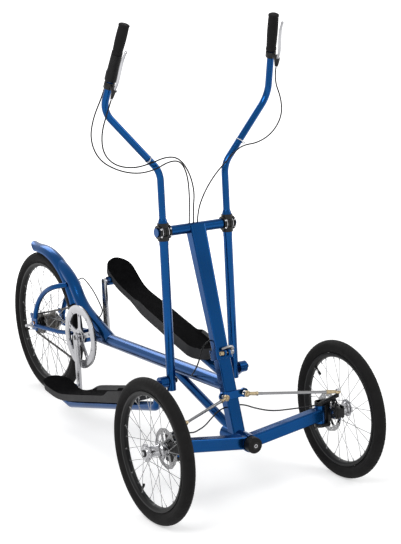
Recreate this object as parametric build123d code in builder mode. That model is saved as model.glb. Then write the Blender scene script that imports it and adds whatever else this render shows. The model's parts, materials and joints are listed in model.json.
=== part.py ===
from build123d import *
import math
import os

os.makedirs("parts", exist_ok=True)

# stance: X forward, Y to the rider's left, Z up, floor at zero, millimetres
WHEELBASE = 1550.0
TRACK = 758.0
FRONT_RADIUS = 247.0
REAR_RADIUS = 298.0
TYRE_WIDTH = 44.0
TYRE_HEIGHT = 44.0
RIM_DEPTH = 16.0
RIM_WIDTH = 28.0
SEAT_GAP = 0.2
RUN_FIT = 0.05
FRONT_SPOKES = 28
REAR_SPOKES = 36
SPOKE_SIZE = 2.0

# lean pivot and front axle, X measured from the front wheel centres
LEAN_DROP = 50.0
LEAN_PIN_RADIUS = 15.0
BOSS_RADIUS = 31.0
BOSS_REAR = -45.0
BOSS_FRONT = 2.0
CAP_RADIUS = 28.0
CAP_LENGTH = 30.0
ARM_HEIGHT = 45.0
ARM_DEPTH = 40.0
KINGPIN_INSET = 89.0
KINGPIN_TUBE_RADIUS = 18.0
KINGPIN_TUBE_HALF = 32.0
KINGPIN_RADIUS = 8.0
STUB_RADIUS = 10.0
ROTOR_RADIUS = 70.0
ROTOR_INSET = 48.0
HUB_OUT = 40.0
CALIPER_X = 58.0
CALIPER_LENGTH = 38.0

# steering linkage
BALL_X = 72.0
BALL_OUT = 24.0
BALL_RISE = 94.0
PIN_LEAN = 7.764
ROD_INNER_X = -80.0
ROD_INNER_Y = 42.0
ROD_INNER_RISE = 99.0
ROD_RADIUS = 5.0
EYE_RADIUS = 11.0
EYE_WIDTH = 9.0
BOLT_RADIUS = 4.0

# mast and frame tubes
MAST_FOOT_X = -90.0
MAST_FOOT_RISE = 28.0
BAR_X = -323.0
BAR_Z = 897.0
MAST_WIDTH = 48.0
MAST_DEPTH = 45.0
MAST_TOP_WIDTH = 62.0
MAST_TOP_DEPTH = 50.0
CLAMP_ALONG = 245.0
CLAMP_LENGTH = 36.0
CROSSBAR_RADIUS = 18.0
MAIN_RADIUS = 25.0
MAIN_FRONT_Z = 370.0
MAIN_REAR_Z = 340.0
BRACE_RADIUS = 16.0
BRACKET_X = -97.0
BRACKET_THICK = 8.0

# crank and chain
CHAINSTAY = 400.0
BB_Z = 330.0
CRANK_LENGTH = 206.0
CRANK_Y = 70.0
CRANK_THICK = 14.0
CRANK_WIDTH = 28.0
SPINDLE_RADIUS = 10.0
SHELL_RADIUS = 27.0
SHELL_HALF = 36.0
CHAIN_Y = -47.0
PITCH = 12.7
RING_TEETH = 60
COG_TEETH = 20
GUARD_RADIUS = 128.0
PIN_END_Y = 84.7

# swing levers and handlebars
LEVER_Y = 130.0
LEVER_RADIUS = 16.0
LEVER_TILT = 2.4
LEVER_BELOW = 562.0
HINGE_BELOW = 528.0
BLOCK_RADIUS = 25.0
BLOCK_HALF = 23.0
BLOCK_REACH = 46.0
HANDLEBAR_RADIUS = 12.5
LOWER_BEND_UP = 208.0
UPPER_BEND = (-352.0, 330.0, 1328.0)
GRIP_TOP = (-250.0, 292.0, 1616.0)
BEND_RADIUS = 85.0
GRIP_RADIUS = 19.0
GRIP_LENGTH = 134.0
SHIFT_GRIP_LENGTH = 105.0
SHIFTER_LENGTH = 94.0
STUB_OUT = 24.0
STUB_LENGTH = 24.0

# foot platforms, measured from the crank pin along the line to the lever hinge
CARRIER_RADIUS = 17.0
CARRIER_V = 163.0
PAD_THICK = 27.0
PAD_DROP = -31.0
PAD_KINK = 80.0
PAD_FALL = 2.7
PAD_RISE = 25.0

# rear end
DROPOUT_Y = 65.0
DROPOUT_THICK = 6.0
REAR_AXLE_RADIUS = 6.0
REAR_AXLE_HALF = 105.0
STAY_RADIUS = 11.0
FENDER_GAP = 6.0
FENDER_RADIUS = 29.0
FENDER_SKIN = 2.5
SPINE_RADIUS = 25.0
CABLE_RADIUS = 2.5
CABLE_GAP = 0.3

XF = (WHEELBASE - FRONT_RADIUS + REAR_RADIUS) / 2
XR = XF - WHEELBASE
XB = XR + CHAINSTAY
PIVOT_X = XF + BAR_X
HALF_TRACK = TRACK / 2
KINGPIN_Y = HALF_TRACK - KINGPIN_INSET
ROTOR_Y = HALF_TRACK - ROTOR_INSET
HUB_END_Y = HALF_TRACK + HUB_OUT
BALL_Y = KINGPIN_Y + BALL_OUT
FRONT_BEAD = FRONT_RADIUS - TYRE_HEIGHT
REAR_BEAD = REAR_RADIUS - TYRE_HEIGHT
LEAN_HEIGHT = FRONT_RADIUS - LEAN_DROP
MAST_FOOT_Z = LEAN_HEIGHT + MAST_FOOT_RISE
BALL_Z = FRONT_RADIUS + BALL_RISE
ROD_INNER_Z = FRONT_RADIUS + ROD_INNER_RISE
FENDER_CENTRE = REAR_RADIUS + FENDER_GAP
SIDES = (("right", -1), ("left", 1))
TILT = math.radians(LEVER_TILT)


def lever_point(below, side_y):
    return Vector(PIVOT_X + below * math.sin(TILT), side_y, BAR_Z - below * math.cos(TILT))


def cable_route(points, bend, size):
    with BuildPart() as piece:
        with BuildLine() as route:
            FilletPolyline(*points, radius=bend)
        with BuildSketch(Plane(origin=route.line @ 0, z_dir=route.line % 0)):
            RegularPolygon(size, 6)
        sweep(path=route.line)
    return piece.part


def round_route(points, bend, radius):
    with BuildPart() as piece:
        with BuildLine() as route:
            FilletPolyline(*points, radius=bend)
        with BuildSketch(Plane(origin=route.line @ 0, z_dir=route.line % 0)):
            Circle(radius)
        sweep(path=route.line)
    return piece.part


def rod_between(start, end, radius):
    span = Vector(*end) - Vector(*start)
    with BuildPart() as piece:
        with BuildSketch(Plane(origin=start, z_dir=span.normalized())):
            Circle(radius)
        extrude(amount=span.length)
    return piece.part


def ring_about(centre, profile):
    plane = Plane(origin=centre, x_dir=(0, 1, 0), z_dir=(1, 0, 0))
    with BuildPart() as piece:
        with BuildSketch(plane):
            with BuildLine():
                Polyline(*profile, close=True)
            make_face()
        revolve(axis=Axis(centre, (0, 1, 0)))
    return piece.part


def tyre_profile(radius, bead):
    half = TYRE_WIDTH / 2
    tall = radius - bead
    side = [(-0.6 * half, bead), (-half, bead + 0.5 * tall), (-0.5 * half, radius)]
    return side + [(-y, r) for y, r in reversed(side)]


def rim_profile(bead):
    half = RIM_WIDTH / 2
    low = bead - RIM_DEPTH
    top = bead - SEAT_GAP
    return [(-half, top), (-half, low + 6), (-half + 7, low), (half - 7, low), (half, low + 6), (half, top)]


def spoke_set(centre, count, flange_r, flange_y, rim_r):
    cx, cy, cz = centre
    step = 360 / count
    with BuildPart() as piece:
        for k in range(count):
            outer = 1 if k % 2 == 0 else -1
            lean = 1 if (k // 2) % 2 == 0 else -1
            lift = 5.2 if lean > 0 else -4.4
            base = outer * (flange_y + lift)
            a_rim = math.radians(k * step)
            a_hub = math.radians(k * step + lean * 62)
            start = Vector(cx + flange_r * math.cos(a_hub), cy + base, cz + flange_r * math.sin(a_hub))
            end = Vector(cx + rim_r * math.cos(a_rim), cy + 3 * outer, cz + rim_r * math.sin(a_rim))
            span = end - start
            with BuildSketch(Plane(origin=start, z_dir=span.normalized())):
                Rectangle(SPOKE_SIZE, SPOKE_SIZE)
            extrude(amount=span.length)
    return piece.part


# front wheels
for side, s in SIDES:
    hub_at = (XF, s * HALF_TRACK, FRONT_RADIUS)

    tyre = ring_about(hub_at, tyre_profile(FRONT_RADIUS, FRONT_BEAD))
    tyre.label = f"tyre_front_{side}"
    export_step(tyre, f"parts/tyre_front_{side}.step")

    rim = ring_about(hub_at, rim_profile(FRONT_BEAD))
    rim.label = f"rim_front_{side}"
    export_step(rim, f"parts/rim_front_{side}.step")

    with BuildPart() as spokes:
        add(spoke_set(hub_at, FRONT_SPOKES, 26, 27, FRONT_BEAD - RIM_DEPTH - SEAT_GAP - 0.6))
    spokes.part.label = f"spokes_front_{side}"
    export_step(spokes.part, f"parts/spokes_front_{side}.step")

    bore = STUB_RADIUS + RUN_FIT
    inner = ROTOR_Y - HALF_TRACK
    outer = HUB_END_Y - HALF_TRACK
    profile = [
        (inner - 1, bore), (inner - 1, ROTOR_RADIUS), (inner + 1, ROTOR_RADIUS), (inner + 1, 22), (-28.8, 22),
        (-28.8, 30), (-25.2, 30), (-25.2, 18), (25.2, 18), (25.2, 30), (28.8, 30), (28.8, 16), (outer, 12),
        (outer, 0), (outer - 9, 0), (outer - 9, bore),
    ]
    hub = ring_about(hub_at, [(s * y, r) for y, r in profile])
    hub.label = f"hub_front_{side}"
    export_step(hub, f"parts/hub_front_{side}.step")


def ball_at(s):
    return Vector(XF + BALL_X, s * BALL_Y, BALL_Z)


def pin_axis(s):
    tilt = math.radians(PIN_LEAN)
    return Vector(0, s * math.sin(tilt), math.cos(tilt))


# steering knuckles with brake calipers
for side, s in SIDES:
    web_y = KINGPIN_Y + KINGPIN_TUBE_RADIUS + 9
    axle_z = FRONT_RADIUS
    plate_z = KINGPIN_TUBE_HALF + 8
    with BuildPart() as knuckle:
        for level in (-plate_z, plate_z):
            with Locations((XF, s * (KINGPIN_Y + 8), axle_z + level)):
                Box(40, 54, 12)
        with Locations((XF, s * web_y, axle_z)):
            Box(40, 10, 2 * plate_z + 12)
        add(rod_between((XF, s * KINGPIN_Y, axle_z - plate_z), (XF, s * KINGPIN_Y, axle_z + plate_z),
                        KINGPIN_RADIUS))
        add(rod_between((XF, s * web_y, axle_z), (XF, s * (HUB_END_Y - 11), axle_z), STUB_RADIUS))
        ball = ball_at(s)
        pin = pin_axis(s)
        add(rod_between((XF + 8, s * KINGPIN_Y, axle_z + plate_z), ball - pin * (EYE_WIDTH + 4), 8))
        add(rod_between(ball - pin * (EYE_WIDTH + 10), ball - pin * (EYE_WIDTH / 2 + 0.5), 6.5))
        add(rod_between(ball - pin * EYE_WIDTH, ball + pin * 10, BOLT_RADIUS))
        bracket_end = CALIPER_X - CALIPER_LENGTH / 2 - SEAT_GAP
        with Locations((XF + 14, s * (web_y - 2), axle_z + 14)):
            Box(bracket_end - 14, 8, 20, align=(Align.MIN, Align.CENTER, Align.CENTER))
    knuckle.part.label = f"knuckle_{side}"
    export_step(knuckle.part, f"parts/knuckle_{side}.step")

    with BuildPart() as caliper:
        with Locations((XF + CALIPER_X, s * (ROTOR_Y - 8.5), axle_z + 16)):
            Box(CALIPER_LENGTH, 37, 46)
        with Locations((XF + ROTOR_RADIUS - 47.5, s * ROTOR_Y, axle_z + 16)):
            Box(100, 9, 60, mode=Mode.SUBTRACT)
        piston = (XF + 60, s * (ROTOR_Y - 30), axle_z + 18)
        add(rod_between(piston, (XF + 60, s * (ROTOR_Y - 20), axle_z + 18), 14))
    caliper.part.label = f"caliper_{side}"
    export_step(caliper.part, f"parts/caliper_{side}.step")

# tie rods with an eye at each end
for side, s in SIDES:
    ball = ball_at(s)
    pin = pin_axis(s)
    inner = Vector(XF + ROD_INNER_X, s * ROD_INNER_Y, ROD_INNER_Z)
    along = (inner - ball).normalized()
    with BuildPart() as tie_rod:
        add(rod_between(ball + along * 8, inner - along * 8, ROD_RADIUS))
        add(rod_between(ball + along * 8, ball + along * 34, ROD_RADIUS + 2))
        add(rod_between(inner - along * 34, inner - along * 8, ROD_RADIUS + 2))
        add(rod_between(ball - pin * (EYE_WIDTH / 2), ball + pin * (EYE_WIDTH / 2), EYE_RADIUS))
        add(rod_between(ball - pin * EYE_WIDTH, ball + pin * EYE_WIDTH, BOLT_RADIUS + RUN_FIT),
            mode=Mode.SUBTRACT)
        with Locations(Location(inner, (0, 90, 0))):
            Cylinder(EYE_RADIUS, EYE_WIDTH)
        bolt_head = inner + Vector(EYE_WIDTH / 2 + 5, 0, 0)
        add(rod_between((XF + BRACKET_X - BRACKET_THICK, inner.Y, inner.Z), bolt_head, BOLT_RADIUS))
    tie_rod.part.label = f"tie_rod_{side}"
    export_step(tie_rod.part, f"parts/tie_rod_{side}.step")

# front axle beam, turning on the lean pin
with BuildPart() as axle_beam:
    add(rod_between((XF + BOSS_REAR, 0, LEAN_HEIGHT), (XF + BOSS_FRONT, 0, LEAN_HEIGHT), BOSS_RADIUS))
    for side, s in SIDES:
        start = Vector(XF + (BOSS_REAR + BOSS_FRONT) / 2, 0, LEAN_HEIGHT)
        end = Vector(XF, s * KINGPIN_Y, FRONT_RADIUS)
        span = end - start
        with BuildSketch(Plane(origin=start, x_dir=(1, 0, 0), z_dir=span.normalized())):
            RectangleRounded(ARM_DEPTH, ARM_HEIGHT, 6)
        extrude(amount=span.length)
        add(rod_between((XF, s * KINGPIN_Y, FRONT_RADIUS - KINGPIN_TUBE_HALF),
                        (XF, s * KINGPIN_Y, FRONT_RADIUS + KINGPIN_TUBE_HALF), KINGPIN_TUBE_RADIUS))
    with Locations(Location((XF + BOSS_REAR, 0, LEAN_HEIGHT), (0, 90, 0))):
        Cylinder(LEAN_PIN_RADIUS + RUN_FIT, 200, mode=Mode.SUBTRACT)
    for side, s in SIDES:
        with Locations((XF, s * (KINGPIN_Y + 50 + KINGPIN_TUBE_RADIUS), FRONT_RADIUS)):
            Box(100, 100, 100, mode=Mode.SUBTRACT)
        with Locations((XF, s * KINGPIN_Y, FRONT_RADIUS)):
            Cylinder(KINGPIN_RADIUS + RUN_FIT, 200, mode=Mode.SUBTRACT)
axle_beam.part.label = "axle_beam"
export_step(axle_beam.part, "parts/axle_beam.step")

# mast axis
foot = Vector(XF + MAST_FOOT_X, 0, MAST_FOOT_Z)
head = Vector(PIVOT_X, 0, BAR_Z)
mast_dir = (head - foot).normalized()
mast_length = (head - foot).length


def mast_plane(along):
    return Plane(origin=foot + mast_dir * along, x_dir=(0, 1, 0), z_dir=mast_dir)


# lower mast with the lean pin sleeve
sleeve_rear = MAST_FOOT_X - 60
with BuildPart() as lower_mast:
    with BuildSketch(mast_plane(-30)):
        RectangleRounded(MAST_WIDTH, MAST_DEPTH, 8)
    extrude(amount=CLAMP_ALONG + 30 - SEAT_GAP)
    add(rod_between((XF + sleeve_rear, 0, LEAN_HEIGHT), (XF + BOSS_REAR - 2, 0, LEAN_HEIGHT), BOSS_RADIUS - 1))
    add(rod_between((XF + sleeve_rear, 0, LEAN_HEIGHT), (XF + BOSS_FRONT + 1, 0, LEAN_HEIGHT), LEAN_PIN_RADIUS))
lower_mast.part.label = "lower_mast"
export_step(lower_mast.part, "parts/lower_mast.step")

with BuildPart() as pivot_cap:
    cap_back = XF + BOSS_FRONT + 1
    add(rod_between((cap_back + SEAT_GAP, 0, LEAN_HEIGHT), (cap_back + CAP_LENGTH, 0, LEAN_HEIGHT), CAP_RADIUS))
    fillet(pivot_cap.edges().group_by(Axis.X)[-1], 6)
pivot_cap.part.label = "pivot_cap"
export_step(pivot_cap.part, "parts/pivot_cap.step")

with BuildPart() as tie_rod_bracket:
    mast_x = XF + MAST_FOOT_X + (ROD_INNER_Z - MAST_FOOT_Z) * mast_dir.X / mast_dir.Z
    face_x = XF + BRACKET_X
    with Locations((face_x - BRACKET_THICK / 2, 0, ROD_INNER_Z)):
        Box(BRACKET_THICK, 2 * ROD_INNER_Y, 26)
    for side, s in SIDES:
        with Locations(Location((face_x - BRACKET_THICK / 2, s * ROD_INNER_Y, ROD_INNER_Z), (0, 90, 0))):
            Cylinder(16, BRACKET_THICK)
            Cylinder(BOLT_RADIUS + 4.5, 3 * BRACKET_THICK, mode=Mode.SUBTRACT)
    with Locations(((face_x - BRACKET_THICK + mast_x) / 2, 0, ROD_INNER_Z)):
        Box(face_x - BRACKET_THICK - mast_x + 2, 30, 20)
    with BuildSketch(mast_plane(-30)):
        RectangleRounded(MAST_WIDTH + 2 * SEAT_GAP, MAST_DEPTH + 2 * SEAT_GAP, 8)
    extrude(amount=CLAMP_ALONG, mode=Mode.SUBTRACT)
tie_rod_bracket.part = tie_rod_bracket.part.solids().sort_by(SortBy.VOLUME)[-1]
tie_rod_bracket.part.label = "tie_rod_bracket"
export_step(tie_rod_bracket.part, "parts/tie_rod_bracket.step")

# folding collar with its quick release
with BuildPart() as mast_clamp:
    with BuildSketch(mast_plane(CLAMP_ALONG)):
        RectangleRounded(MAST_WIDTH + 14, MAST_DEPTH + 14, 10)
    extrude(amount=CLAMP_LENGTH)
mast_clamp.part.label = "mast_clamp"
export_step(mast_clamp.part, "parts/mast_clamp.step")

clamp_mid = foot + mast_dir * (CLAMP_ALONG + CLAMP_LENGTH / 2)
front_dir = Vector(mast_dir.Z, 0, -mast_dir.X)
lug = clamp_mid + front_dir * (MAST_DEPTH / 2 + 7 + SEAT_GAP)
with BuildPart() as quick_release:
    with Locations(Location(lug + front_dir * 9, (0, math.degrees(math.asin(mast_dir.X)), 0))):
        Box(18, 26, 22)
    add(rod_between(lug + front_dir * 10 + Vector(0, -26, 0), lug + front_dir * 10 + Vector(0, 26, 0), 5))
    add(rod_between(lug + front_dir * 14 + Vector(0, -22, 0), lug + front_dir * 18 + Vector(0, 40, 16), 5))
quick_release.part.label = "quick_release"
export_step(quick_release.part, "parts/quick_release.step")

# upper mast and crossbar
with BuildPart() as mast:
    with BuildSketch(mast_plane(CLAMP_ALONG + CLAMP_LENGTH + SEAT_GAP)):
        RectangleRounded(MAST_WIDTH, MAST_DEPTH, 10)
    with BuildSketch(mast_plane(mast_length + 6)):
        RectangleRounded(MAST_TOP_WIDTH, MAST_TOP_DEPTH, 10)
    loft()
    with Locations(Location((PIVOT_X, 0, BAR_Z), (90, 0, 0))):
        Cylinder(CROSSBAR_RADIUS + SEAT_GAP, 300, mode=Mode.SUBTRACT)
mast.part = mast.part.solids().sort_by(SortBy.VOLUME)[-1]
mast.part.label = "mast"
export_step(mast.part, "parts/mast.step")

block_in = LEVER_Y - BLOCK_HALF
block_out = LEVER_Y + BLOCK_HALF
with BuildPart() as crossbar:
    add(rod_between((PIVOT_X, 2 - block_in, BAR_Z), (PIVOT_X, block_in - 2, BAR_Z), CROSSBAR_RADIUS))
    add(rod_between((PIVOT_X, -block_out - 2, BAR_Z), (PIVOT_X, block_out + 2, BAR_Z), SPINDLE_RADIUS))
    for side, s in SIDES:
        add(rod_between((PIVOT_X, s * (block_out + 1), BAR_Z), (PIVOT_X, s * (block_out + 6), BAR_Z), 16))
crossbar.part.label = "crossbar"
export_step(crossbar.part, "parts/crossbar.step")

# main tube with the bottom bracket shell
main_front = Vector(foot.X + (MAIN_FRONT_Z - foot.Z) * mast_dir.X / mast_dir.Z, 0, MAIN_FRONT_Z)
main_rear = Vector(XB, 0, MAIN_REAR_Z - 4)
with BuildPart() as main_tube:
    add(rod_between(main_rear, main_front, MAIN_RADIUS))
    with BuildSketch(mast_plane(-100)):
        RectangleRounded(MAST_WIDTH + 2 * SEAT_GAP, MAST_DEPTH + 2 * SEAT_GAP, 8)
    extrude(amount=500, mode=Mode.SUBTRACT)
    add(rod_between((XB, -SHELL_HALF, BB_Z), (XB, SHELL_HALF, BB_Z), SHELL_RADIUS))
    with Locations(Location((XB, 0, BB_Z), (90, 0, 0))):
        Cylinder(SPINDLE_RADIUS + RUN_FIT, 200, mode=Mode.SUBTRACT)
main_tube.part = main_tube.part.solids().sort_by(SortBy.VOLUME)[-1]
main_tube.part.label = "main_tube"
export_step(main_tube.part, "parts/main_tube.step")

# brace from the underside of the main tube to the lean pin sleeve
with BuildPart() as brace_tube:
    add(rod_between((XF - 500, 0, 340), (XF + MAST_FOOT_X - 20, 0, 215), BRACE_RADIUS))
    main_way = (main_front - main_rear).normalized()
    add(rod_between(main_rear, main_front + main_way * 100, MAIN_RADIUS + SEAT_GAP), mode=Mode.SUBTRACT)
    add(rod_between((XF - 300, 0, LEAN_HEIGHT), (XF + 100, 0, LEAN_HEIGHT), BOSS_RADIUS - 1 + SEAT_GAP),
        mode=Mode.SUBTRACT)
    with BuildSketch(mast_plane(-100)):
        RectangleRounded(MAST_WIDTH + 2 * SEAT_GAP, MAST_DEPTH + 2 * SEAT_GAP, 8)
    extrude(amount=500, mode=Mode.SUBTRACT)
brace_tube.part = brace_tube.part.solids().sort_by(SortBy.VOLUME)[-1]
brace_tube.part.label = "brace_tube"
export_step(brace_tube.part, "parts/brace_tube.step")

# spine rising in front of the rear tyre, fender and stays
rear_axle_at = (XR, 0, REAR_RADIUS)
fender_from = 26.0
fender_to = 110.0


def about_axle(radius, degrees, y=0.0):
    a = math.radians(degrees)
    return Vector(XR + radius * math.cos(a), y, REAR_RADIUS + radius * math.sin(a))


crown = FENDER_CENTRE + FENDER_RADIUS
with BuildPart() as spine_tube:
    add(round_route([Vector(XB + 170, 0, MAIN_REAR_Z), about_axle(FENDER_CENTRE + 55, 20.5),
                     about_axle(crown + 6, 39)], 90, SPINE_RADIUS))
    with Locations(Location((XB, 0, BB_Z), (90, 0, 0))):
        Cylinder(SHELL_RADIUS + SEAT_GAP, 200, mode=Mode.SUBTRACT)
    add(rod_between(main_rear, main_front, MAIN_RADIUS + SEAT_GAP), mode=Mode.SUBTRACT)
    with Locations(Location(rear_axle_at, (90, 0, 0))):
        Cylinder(FENDER_CENTRE + 14, 200, mode=Mode.SUBTRACT)
    with BuildSketch(Plane(origin=rear_axle_at, x_dir=(0, 1, 0), z_dir=(1, 0, 0))):
        with Locations((0, FENDER_CENTRE)):
            Circle(FENDER_RADIUS + SEAT_GAP)
    revolve(axis=Axis(rear_axle_at, (0, 1, 0)), revolution_arc=360, mode=Mode.SUBTRACT)
spine_tube.part = spine_tube.part.solids().sort_by(SortBy.VOLUME)[-1]
spine_tube.part.label = "spine_tube"
export_step(spine_tube.part, "parts/spine_tube.step")

with BuildPart() as fender:
    with BuildSketch(Plane(origin=rear_axle_at, x_dir=(0, 1, 0), z_dir=(1, 0, 0))):
        with Locations((0, FENDER_CENTRE)):
            Circle(FENDER_RADIUS)
            Circle(FENDER_RADIUS - FENDER_SKIN, mode=Mode.SUBTRACT)
        with Locations((0, FENDER_CENTRE - FENDER_RADIUS)):
            Rectangle(4 * FENDER_RADIUS, 2 * FENDER_RADIUS, mode=Mode.SUBTRACT)
    revolve(axis=Axis(rear_axle_at, (0, 1, 0)), revolution_arc=fender_to - fender_from)
fender.part = fender.part.rotate(Axis(rear_axle_at, (0, 1, 0)), 90 - fender_from - (fender_to - fender_from))
fender.part.label = "fender"
export_step(fender.part, "parts/fender.step")

with BuildPart() as chainstays:
    for side, s in SIDES:
        add(round_route([Vector(XR + 14, s * DROPOUT_Y, REAR_RADIUS - 2),
                         Vector(XR + 190, s * 46, REAR_RADIUS + 6),
                         Vector(XB - 118, s * 33, BB_Z - 14), Vector(XB, s * 26, BB_Z)], 60, STAY_RADIUS - 2))
        with Locations((XR + 4, s * DROPOUT_Y, REAR_RADIUS + 4)):
            Box(44, DROPOUT_THICK, 52)
        with Locations((XR - 16, s * DROPOUT_Y, REAR_RADIUS + 36)):
            Box(20, DROPOUT_THICK, 20)
        with Locations(Location((XR - 16, s * DROPOUT_Y, REAR_RADIUS + 36), (90, 0, 0))):
            Cylinder(2.7, 40, mode=Mode.SUBTRACT)
        with Locations(Location((XR, s * DROPOUT_Y, REAR_RADIUS), (90, 0, 0))):
            Cylinder(REAR_AXLE_RADIUS + RUN_FIT, 40, mode=Mode.SUBTRACT)
    with Locations(Location((XB, 0, BB_Z), (90, 0, 0))):
        Cylinder(SHELL_RADIUS + SEAT_GAP, 200, mode=Mode.SUBTRACT)
    add(rod_between(main_rear, main_front, MAIN_RADIUS + SEAT_GAP), mode=Mode.SUBTRACT)
chainstays.part.label = "chainstays"
export_step(chainstays.part, "parts/chainstays.step")

with BuildPart() as seat_stays:
    for side, s in SIDES:
        add(round_route([Vector(XR + 14, s * DROPOUT_Y, REAR_RADIUS + 32),
                         Vector(XR + 20, s * DROPOUT_Y, REAR_RADIUS + 78),
                         Vector(XR + 110, s * 64, REAR_RADIUS + 162),
                         Vector(XR + 212, s * 58, REAR_RADIUS + 206),
                         about_axle(FENDER_CENTRE + 16, 41, s * (FENDER_RADIUS - 8))], 30, STAY_RADIUS - 1))
    with BuildSketch(Plane(origin=rear_axle_at, x_dir=(0, 1, 0), z_dir=(1, 0, 0))):
        with Locations((0, FENDER_CENTRE)):
            Circle(FENDER_RADIUS + SEAT_GAP)
    revolve(axis=Axis(rear_axle_at, (0, 1, 0)), revolution_arc=360, mode=Mode.SUBTRACT)
seat_stays.part = Compound(children=list(seat_stays.part.solids().sort_by(SortBy.VOLUME)[-2:]))
seat_stays.part.label = "seat_stays"
export_step(seat_stays.part, "parts/seat_stays.step")

with BuildPart() as rear_axle:
    add(rod_between((XR, -REAR_AXLE_HALF, REAR_RADIUS), (XR, REAR_AXLE_HALF, REAR_RADIUS), REAR_AXLE_RADIUS))
    for side, s in SIDES:
        nut = DROPOUT_Y + DROPOUT_THICK / 2 + SEAT_GAP
        add(rod_between((XR, s * nut, REAR_RADIUS), (XR, s * (nut + 12), REAR_RADIUS), 11))
rear_axle.part.label = "rear_axle"
export_step(rear_axle.part, "parts/rear_axle.step")

# rear wheel
tyre_rear = ring_about(rear_axle_at, tyre_profile(REAR_RADIUS, REAR_BEAD))
tyre_rear.label = "tyre_rear"
export_step(tyre_rear, "parts/tyre_rear.step")

rim_rear = ring_about(rear_axle_at, rim_profile(REAR_BEAD))
rim_rear.label = "rim_rear"
export_step(rim_rear, "parts/rim_rear.step")

spokes_rear = spoke_set(rear_axle_at, REAR_SPOKES, 40, 29, REAR_BEAD - RIM_DEPTH - SEAT_GAP - 0.6)
spokes_rear.label = "spokes_rear"
export_step(spokes_rear, "parts/spokes_rear.step")

cog_radius = COG_TEETH * PITCH / (2 * math.pi)
ring_radius = RING_TEETH * PITCH / (2 * math.pi)
axle_bore = REAR_AXLE_RADIUS + RUN_FIT
hub_rear = ring_about(rear_axle_at, [
    (CHAIN_Y - 7, axle_bore), (CHAIN_Y - 7, 20), (CHAIN_Y - 1, 20), (CHAIN_Y - 1, cog_radius - 1),
    (CHAIN_Y + 1, cog_radius - 1), (CHAIN_Y + 1, 24), (-31, 24), (-31, 45), (-27, 45), (-27, 34),
    (27, 34), (27, 45), (31, 45), (31, 24), (53, 24), (53, axle_bore)])
hub_rear.label = "hub_rear"
export_step(hub_rear, "parts/hub_rear.step")

# cranks, chainwheel and chain
hinge = lever_point(HINGE_BELOW, 0)
phase = math.atan2(hinge.Z - BB_Z, hinge.X - XB)


def crank_pin(s):
    return Vector(XB - s * CRANK_LENGTH * math.sin(phase), 0, BB_Z + s * CRANK_LENGTH * math.cos(phase))


with BuildPart() as crank_arms:
    add(rod_between((XB, -CRANK_Y, BB_Z), (XB, CRANK_Y, BB_Z), SPINDLE_RADIUS))
    for side, s in SIDES:
        pin = crank_pin(s)
        reach = Vector(pin.X - XB, 0, pin.Z - BB_Z).normalized()
        inside = (XB, s * (CRANK_Y - CRANK_THICK / 2), BB_Z)
        with BuildSketch(Plane(origin=inside, x_dir=(reach.X, 0, reach.Z), z_dir=(0, s, 0))):
            with Locations((CRANK_LENGTH / 2, 0)):
                SlotCenterToCenter(CRANK_LENGTH, CRANK_WIDTH)
            Circle(19)
        extrude(amount=CRANK_THICK)
        add(rod_between((pin.X, s * CRANK_Y, pin.Z), (pin.X, s * PIN_END_Y, pin.Z), 8))
crank_arms.part.label = "crank_arms"
export_step(crank_arms.part, "parts/crank_arms.step")

with BuildPart() as chainwheel:
    with BuildSketch(Plane(origin=(XB, CHAIN_Y + 1, BB_Z), x_dir=(1, 0, 0), z_dir=(0, -1, 0))):
        Circle(ring_radius - 1)
        Circle(95, mode=Mode.SUBTRACT)
    extrude(amount=2)
    with BuildSketch(Plane(origin=(XB, CHAIN_Y - 4, BB_Z), x_dir=(1, 0, 0), z_dir=(0, -1, 0))):
        Circle(GUARD_RADIUS)
        Circle(98, mode=Mode.SUBTRACT)
        Circle(30)
        with PolarLocations(62, 5, start_angle=18):
            Rectangle(90, 22)
        Circle(SPINDLE_RADIUS + SEAT_GAP, mode=Mode.SUBTRACT)
    extrude(amount=4)
    with BuildSketch(Plane(origin=(XB, CHAIN_Y - 1, BB_Z), x_dir=(1, 0, 0), z_dir=(0, -1, 0))):
        Circle(106)
        Circle(98, mode=Mode.SUBTRACT)
    extrude(amount=4)
chainwheel.part.label = "chainwheel"
export_step(chainwheel.part, "parts/chainwheel.step")

chain_plane = Plane(origin=(0, CHAIN_Y, 0), x_dir=(1, 0, 0), z_dir=(0, -1, 0))
axle_gap = Vector(XB - XR, BB_Z - REAR_RADIUS)
lean_chain = math.atan2(axle_gap.Y, axle_gap.X)
open_chain = math.asin((ring_radius - cog_radius) / axle_gap.length)


def chain_loop(grow):
    big = ring_radius + grow
    small = cog_radius + grow
    spots = []
    for turn in (1, -1):
        a = lean_chain + turn * (math.pi / 2 + open_chain)
        spots.append((XB + big * math.cos(a), BB_Z + big * math.sin(a)))
        spots.append((XR + small * math.cos(a), REAR_RADIUS + small * math.sin(a)))
    front = (XB + big * math.cos(lean_chain), BB_Z + big * math.sin(lean_chain))
    back = (XR - small * math.cos(lean_chain), REAR_RADIUS - small * math.sin(lean_chain))
    with BuildLine() as loop:
        Line(spots[0], spots[1])
        ThreePointArc(spots[1], back, spots[3])
        Line(spots[3], spots[2])
        ThreePointArc(spots[2], front, spots[0])
    return loop.line


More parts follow.
